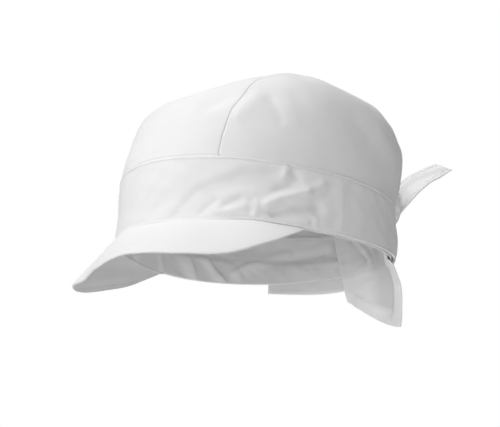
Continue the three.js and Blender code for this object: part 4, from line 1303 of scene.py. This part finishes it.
def knot_loop():
    """A ring of cloth in the knot's own axes: round the core over its top and bottom."""
    turn, side = np.meshgrid(np.linspace(0, 2 * math.pi, 145)[:-1], np.linspace(0, 1, 41), indexing="ij")
    sin, cos = np.sin(turn), np.cos(turn)
    x = (side - 0.5) * LOOP_WIDTH * (1 + 0.08 * np.sin(2 * turn + 0.6))
    bow = UNDER_LOOP * (1 - (2 * side - 1) ** 2)
    fold = LOOP_FOLD * np.sin(side * 2 * math.pi * 2.6 + 0.8 * sin + 0.5)
    fold *= smooth(side * 5) * smooth((1 - side) * 5)
    out = bow + fold + slack(np.stack([x, 8 * cos, 8 * sin], -1), LOOP_SLACK)
    y = KNOT_HALF[1] - UNDER_LOOP + out * mix(0.35, 1.0, cos > 0)
    y = y * np.sign(cos) * np.abs(cos) ** LOOP_ROUND
    z = np.sign(sin) * np.abs(sin) ** LOOP_ROUND * (KNOT_HALF[2] - 0.6 + out)
    lean_sin, lean_cos = math.sin(LOOP_LEAN * RAD), math.cos(LOOP_LEAN * RAD)
    point = np.stack([x * lean_cos + z * lean_sin * 0.5, y, z - x * lean_sin * 0.4], -1)
    return point, LOOP_THICKNESS * rounded(np.minimum(side, 1 - side) * LOOP_WIDTH, 1.2)


def closed_ball(name, grid):
    """A ball-like grid, closed at its two poles."""
    n, m = grid.shape[:2]
    i, j = np.meshgrid(np.arange(n - 1), np.arange(m), indexing="ij")
    ahead = (j + 1) % m
    faces = np.stack([i * m + j, (i + 1) * m + j, (i + 1) * m + ahead, i * m + ahead], -1).reshape(-1, 4)
    points = grid.reshape(-1, 3)
    uv = np.stack([points[:, 0], points[:, 2]], -1) * MM
    return mesh_piece(name, points * MM, faces, uv, np.ones(len(points)))


def joined(name, pieces):
    """Several meshes as one piece."""
    with bpy.context.temp_override(active_object=pieces[0], selected_editable_objects=pieces):
        bpy.ops.object.join()
    pieces[0].name = name
    return pieces[0]


def knot():
    core = closed_ball("knot_core", knot_turned(knot_core()))
    point, thick = knot_loop()
    point = knot_turned(point)
    loop = wall("knot_loop", point, grid_normals(point, loop=True), thick, loop=True)
    return joined("knot_cloth", [core, loop])


knot_cloth = report(knot())

# %% [markdown]
# ## Stitches
#
# A sewing machine leaves a row of short thread pieces, each a little sunk into the cloth at its ends.
# Geometry Nodes make them from a line: the line becomes a curve, the curve is cut into steps of one
# stitch, and a short grain of thread is set on each step, turned along the line. The tree's inputs are
# the stitch's own sizes, so one tree serves every seam. At the end the copies are made real, because an
# export drops copies.

# %% The stitch tree
STITCH_SIZES = {"Step": 2.6, "Stitch length": 2.1, "Thread thickness": 0.42}
GRAIN_SIDES = 6


def stitch_tree():
    tree = bpy.data.node_groups.new("machine stitches", "GeometryNodeTree")
    kinds = {"Line": "Geometry", **{name: "Float" for name in STITCH_SIZES}, "Thread": "Material"}
    for name, kind in kinds.items():
        tree.interface.new_socket(name, in_out="INPUT", socket_type="NodeSocket" + kind)
    tree.interface.new_socket("Stitches", in_out="OUTPUT", socket_type="NodeSocketGeometry")
    given = add_node(tree, "NodeGroupInput").outputs
    curve = add_node(tree, "GeometryNodeMeshToCurve", {"Mesh": given["Line"]})
    steps = add_node(tree, "GeometryNodeResampleCurve", {
        "Curve": curve.outputs["Curve"], "Length": given["Step"],
    }, mode="LENGTH")
    tangent = add_node(tree, "GeometryNodeInputTangent")
    turned = add_node(tree, "FunctionNodeAlignRotationToVector", {
        "Vector": tangent.outputs["Tangent"],
    }, axis="X")
    size = add_node(tree, "ShaderNodeCombineXYZ", {
        "X": given["Stitch length"], "Y": given["Thread thickness"], "Z": given["Thread thickness"],
    })
    grain = add_node(tree, "GeometryNodeMeshUVSphere", {
        "Segments": GRAIN_SIDES, "Rings": GRAIN_SIDES, "Radius": 0.5,
    })
    along = add_node(tree, "GeometryNodeTransform", {
        "Geometry": grain.outputs["Mesh"], "Rotation": (0, math.pi / 2, 0),
    })
    copies = add_node(tree, "GeometryNodeInstanceOnPoints", {
        "Points": steps.outputs["Curve"], "Instance": along.outputs["Geometry"],
        "Rotation": turned.outputs["Rotation"], "Scale": size.outputs["Vector"],
    })
    real = add_node(tree, "GeometryNodeRealizeInstances", {"Geometry": copies.outputs["Instances"]})
    soft = add_node(tree, "GeometryNodeSetShadeSmooth", {"Geometry": real.outputs["Geometry"]})
    finish = add_node(tree, "GeometryNodeSetMaterial", {
        "Geometry": soft.outputs["Geometry"], "Material": given["Thread"],
    })
    add_node(tree, "NodeGroupOutput", {"Stitches": finish.outputs["Geometry"]})
    return tree


def stitched(name, lines, material):
    """Rows of stitches along lines of points in millimetres, as one plain mesh."""
    mesh = bpy.data.meshes.new(name + "_line")
    points = np.concatenate(lines) * MM
    starts = np.concatenate([[0], np.cumsum([len(line) for line in lines])])
    edges = [(k, k + 1) for a, b in zip(starts[:-1], starts[1:]) for k in range(a, b - 1)]
    mesh.from_pydata(points.tolist(), edges, [])
    carrier = in_scene(name, mesh)
    modifier = carrier.modifiers.new("stitches", "NODES")
    modifier.node_group = STITCHES
    values = {**{key: size * MM for key, size in STITCH_SIZES.items()}, "Thread": material}
    for socket in STITCHES.interface.items_tree:
        if socket.name in values:
            modifier[socket.identifier] = values[socket.name]
    seen = carrier.evaluated_get(bpy.context.evaluated_depsgraph_get())
    plain = bpy.data.meshes.new_from_object(seen)
    carrier.modifiers.remove(modifier)
    carrier.data = plain
    print(name, "stitches:", len(plain.polygons) // GRAIN_SIDES**2)
    return carrier


STITCHES = stitch_tree()

# %% [markdown]
# ## Cotton
#
# The whole cap is one white cotton, a plain weave of fine even threads. The threads go over and under
# each other, so their height is a pattern of two sine waves that share the surface like squares on a
# chessboard. It reads the UV map in metres of cloth, so the weave follows each piece and is the same size
# everywhere. The hollows of the weave get a little painted shade. A faint uneven whiteness, a soft sheen
# and almost no gloss do the rest. Each piece carries a tone: painted shade on the sweatband between its
# raised folds, on the underside of the peak, and on the tail's single cloth beside its side hem. The
# sweatband and the ties get a lighter white, which is painted light.

# %% Weave and unevenness
THREAD_PITCH = 0.42
NOISE_DETAIL = 3.0
NOISE_RANGE = (0.3, 0.7)


def weave_height(tree, cloth):
    """Height of a plain weave at a place on the cloth, in the range 0 to 1."""
    place = add_node(tree, "ShaderNodeSeparateXYZ", {"Vector": cloth}).outputs
    turns = math.pi / (THREAD_PITCH * MM)
    warp = math_node(tree, "SINE", math_node(tree, "MULTIPLY", place["X"], turns))
    weft = math_node(tree, "SINE", math_node(tree, "MULTIPLY", place["Y"], turns))
    over = math_node(tree, "MULTIPLY", warp, weft)
    warp_top = math_node(tree, "ADD", math_node(tree, "ABSOLUTE", warp), over)
    weft_top = math_node(tree, "SUBTRACT", math_node(tree, "ABSOLUTE", weft), over)
    return math_node(tree, "MULTIPLY", math_node(tree, "MAXIMUM", warp_top, weft_top), 0.5)


def mottle(tree, scale, low, high):
    """Soft noise over the object, between two values."""
    body = add_node(tree, "ShaderNodeTexCoord").outputs["Object"]
    noise = add_node(tree, "ShaderNodeTexNoise", {"Scale": scale, "Detail": NOISE_DETAIL, "Vector": body})
    return add_node(tree, "ShaderNodeMapRange", {
        "From Min": NOISE_RANGE[0], "From Max": NOISE_RANGE[1], "To Min": low, "To Max": high,
        "Value": noise.outputs["Fac"],
    }).outputs["Result"]


def painted(tree, material, white, level, height, bump, gloss):
    """Ends a material: its white times a level, bent by a height; bump is a strength and a distance."""
    paint = add_node(tree, "ShaderNodeVectorMath", {"Vector": white, "Scale": level}, operation="SCALE")
    bend = add_node(tree, "ShaderNodeBump", {"Strength": bump[0], "Distance": bump[1], "Height": height})
    shader = add_node(tree, "ShaderNodeBsdfPrincipled", {
        **gloss, "Base Color": paint.outputs["Vector"], "Normal": bend.outputs["Normal"],
    })
    add_node(tree, "ShaderNodeOutputMaterial", {"Surface": shader.outputs["BSDF"]})
    return material


# %% Cotton and thread
CLOTH_GLOSS = {
    "Roughness": 0.88, "Specular IOR Level": 0.22, "Sheen Weight": 0.05, "Sheen Roughness": 0.5,
    "Subsurface Radius": (1.0, 1.0, 1.0), "Subsurface Scale": 0.0012,
}
THREAD_GLOSS = {"Roughness": 0.6, "Sheen Weight": 0.2}
WEAVE_DEPTH = 0.00006
# painted shade in the hollows of the weave
WEAVE_SHADE_LEVEL = 0.965
CLOTH_MOTTLE = [
    # scale, lowest level
    (60.0, 0.985), (900.0, 0.985),
]
TWIST_SCALE = 900.0
TWIST_BUMP = (0.4, 0.00008)
THREAD_MOTTLE = (400.0, 0.95)


def cotton(name, white, bump=0.35, thin=0.0):
    material, tree = shaded(name)
    cloth = add_node(tree, "ShaderNodeUVMap", uv_map="cloth")
    height = weave_height(tree, cloth.outputs["UV"])
    tone = add_node(tree, "ShaderNodeAttribute", attribute_name="tone")
    # the low parts of the weave get painted shade
    hollow = add_node(tree, "ShaderNodeMapRange", {"To Min": WEAVE_SHADE_LEVEL, "To Max": 1.0, "Value": height})
    level = math_node(tree, "MULTIPLY", hollow.outputs["Result"], tone.outputs["Fac"])
    for scale, low in CLOTH_MOTTLE:
        level = math_node(tree, "MULTIPLY", level, mottle(tree, scale, low, 1.0))
    gloss = {**CLOTH_GLOSS, "Subsurface Weight": thin}
    return painted(tree, material, white, level, height, (bump, WEAVE_DEPTH), gloss)


def thread(name, white):
    """Twisted thread: fine slanting ridges round each stitch."""
    material, tree = shaded(name)
    body = add_node(tree, "ShaderNodeTexCoord").outputs["Object"]
    twist = add_node(tree, "ShaderNodeTexWave", {
        "Scale": TWIST_SCALE, "Vector": body,
    }, wave_type="BANDS", bands_direction="DIAGONAL")
    level = mottle(tree, *THREAD_MOTTLE, 1.0)
    return painted(tree, material, white, level, twist.outputs["Fac"], TWIST_BUMP, THREAD_GLOSS)


# %% The cap's cloths
WHITE = (0.90, 0.90, 0.90)
# a lighter copy of the same white: painted light on the sweatband and the ties
LIGHTENED_WHITE = (0.94, 0.94, 0.94)
cottons = {
    "crown_cotton": cotton("crown cotton", WHITE),
    "band_cotton": cotton("band cotton", WHITE),
    "facing_cotton": cotton("sweatband cotton", LIGHTENED_WHITE, bump=0.4),
    "peak_cotton": cotton("peak cotton", WHITE),
    "tail_cotton": cotton("tail cotton", WHITE, thin=0.6),
    "tie_cotton": cotton("tie cotton", LIGHTENED_WHITE, bump=0.2),
}
sewing_thread = thread("sewing thread", WHITE)
print("materials:", len(cottons) + 1)

# %% [markdown]
# ## Rows of stitches on the cap
#
# The band is topstitched close to its upper fold and along its end, the sweatband and the tail along
# their hems, and the straps and ties along both edges. The surfaces that made the cloth also say where
# each row lies, so the thread follows every fold.

# %% Rows of stitches
PROUD = 0.12
ON_TIE = TIE_CLOTH / 2 + 0.02


def band_rows():
    turn = np.linspace(BAND_START + 2, BAND_END - 1.2, 900)
    end_turn = BAND_END - END_STITCH / (BAND_RADIUS * RAD)
    end = band_surface(end_turn, np.linspace(0.04, 0.94, 60), PROUD)
    return [band_surface(turn, 1 - TOP_STITCH / BAND_HEIGHT, PROUD), end]


def sweatband_rows():
    turn = np.linspace(-180, 180, 700)
    inside = SWEATBAND_CLOTH - 0.3
    return [sweatband_surface(turn, np.full_like(turn, SWEATBAND_HEIGHT - HEM_DOWN), inside)[0]]


def tail_rows():
    up = np.linspace(HEM_STITCH / tail_grid(1.0, 0.0)[3] / 5, 0.98, 80)
    share = np.linspace(0.02, 0.98, 80)
    rows = [
        (1 - HEM_STITCH / tail_grid(np.ones_like(up), up)[2], up),
        (share, HEM_STITCH / (tail_grid(share, 0.0)[3] * FOOT_SLANT)),
    ]
    faces = []
    for row in rows:
        point = tail_surface(*row)
        faces += [point - [0, TAIL_CLOTH * 1.5 + PROUD, 0], point + [0, PROUD - 0.1, 0]]
    return faces


def tie_rows():
    """Two rows on each face of the free ends, and on each strap two rows and one across its foot."""
    rows = []
    for tail in (TAIL_UP, TAIL_DOWN):
        along = np.linspace(0.02, 0.985, 120)
        width = tie_surface(tail, along, 0.5)[2]
        for across in (TIE_HEM / width, 1 - TIE_HEM / width):
            point, normal = tie_surface(tail, along, across)[:2]
            rows += [point + normal * ON_TIE, point - normal * ON_TIE]
    for route, seed in ((STRAP_LEFT, LEFT_SEED), (STRAP_RIGHT, RIGHT_SEED)):
        along = np.linspace(0.04, 0.9, 120)
        width = strap_surface(route, seed, along, 0.5)[1]
        foot = (TIE_HEM / STRAP_LENGTH, np.linspace(0.12, 0.88, 30))
        for place in ((along, TIE_HEM / width), (along, 1 - TIE_HEM / width), foot):
            point = strap_surface(route, seed, *place)[0]
            rows.append(point + unit(point * [1, 1, 0]) * ON_TIE)
    return rows


seams = {
    name: stitched(name, rows, sewing_thread)
    for name, rows in (
        ("band_stitches", band_rows()), ("inner_band_stitches", sweatband_rows()),
        ("tail_stitches", tail_rows()), ("tie_stitches", tie_rows()),
    )
}

# %% [markdown]
# ## Placing the pieces on the frame
#
# Every piece stands for one solid of the construction model, and takes its finish. Nothing on this cap is
# hinged, so all pieces go with one body. Each sheet of cloth is listed with the size it was cut to. The
# area of its mesh is printed beside that: cloth may be gathered or folded, but a mesh with more area than
# its pattern would be stretched.

# %% Pieces, finishes and sheets
top_panel, left_panel, right_panel = crown_pieces
left_strap, right_strap, end_up, end_down = ties
CLOTH_TABLE = [
    # piece, CAD node, slot, flat width and length in metres, held, sewn to or hung from, its stitches
    (top_panel, "crown_centre_panel", "crown_cotton", (0.130, 0.330), "stretched", "band", []),
    (left_panel, "crown_side_panel_left", "crown_cotton", (0.090, 0.200), "stretched", "band", []),
    (right_panel, "crown_side_panel_right", "crown_cotton", (0.090, 0.200), "stretched", "band", []),
    (band, "headband", "band_cotton", (0.040, 0.740), "stretched", "inner_band", ["band_stitches"]),
    (
        inner_band, "sweatband", "facing_cotton", (0.020, 0.560), "stretched", "band",
        ["inner_band_stitches"],
    ),
    (peak_cloth, "peak", "peak_cotton", (0.041, 0.250), "stretched", "band", []),
    (neck_cloth, "neck_tail", "tail_cotton", (0.062, 0.078), "hung", "band", ["tail_stitches"]),
    (left_strap, "tie_strap_left", "tie_cotton", (0.019, 0.036), "stretched", "band", ["tie_stitches"]),
    (right_strap, "tie_strap_right", "tie_cotton", (0.019, 0.060), "stretched", "band", []),
    (end_up, "tie_tail_up", "tie_cotton", (0.017, 0.066), "hung", "knot_cloth", []),
    (end_down, "tie_tail_down", "tie_cotton", (0.017, 0.044), "hung", "knot_cloth", []),
]
for piece, node, slot, flat, held, rests_on, on_it in CLOTH_TABLE:
    piece.data.materials.append(cottons[slot])
    area = sum(face.area for face in piece.data.polygons) / 2
    print(piece.name, "area of one face", round(area, 5), "flat", round(flat[0] * flat[1], 5))
    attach(piece, "root")
    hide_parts(node)
for name, slot in (
    ("band_stitches", "band_cotton"), ("inner_band_stitches", "facing_cotton"),
    ("tail_stitches", "tail_cotton"), ("tie_stitches", "tie_cotton"),
):
    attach(seams[name], "root")
knot_cloth.data.materials.append(cottons["tie_cotton"])
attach(knot_cloth, "root")
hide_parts("tie_knot")
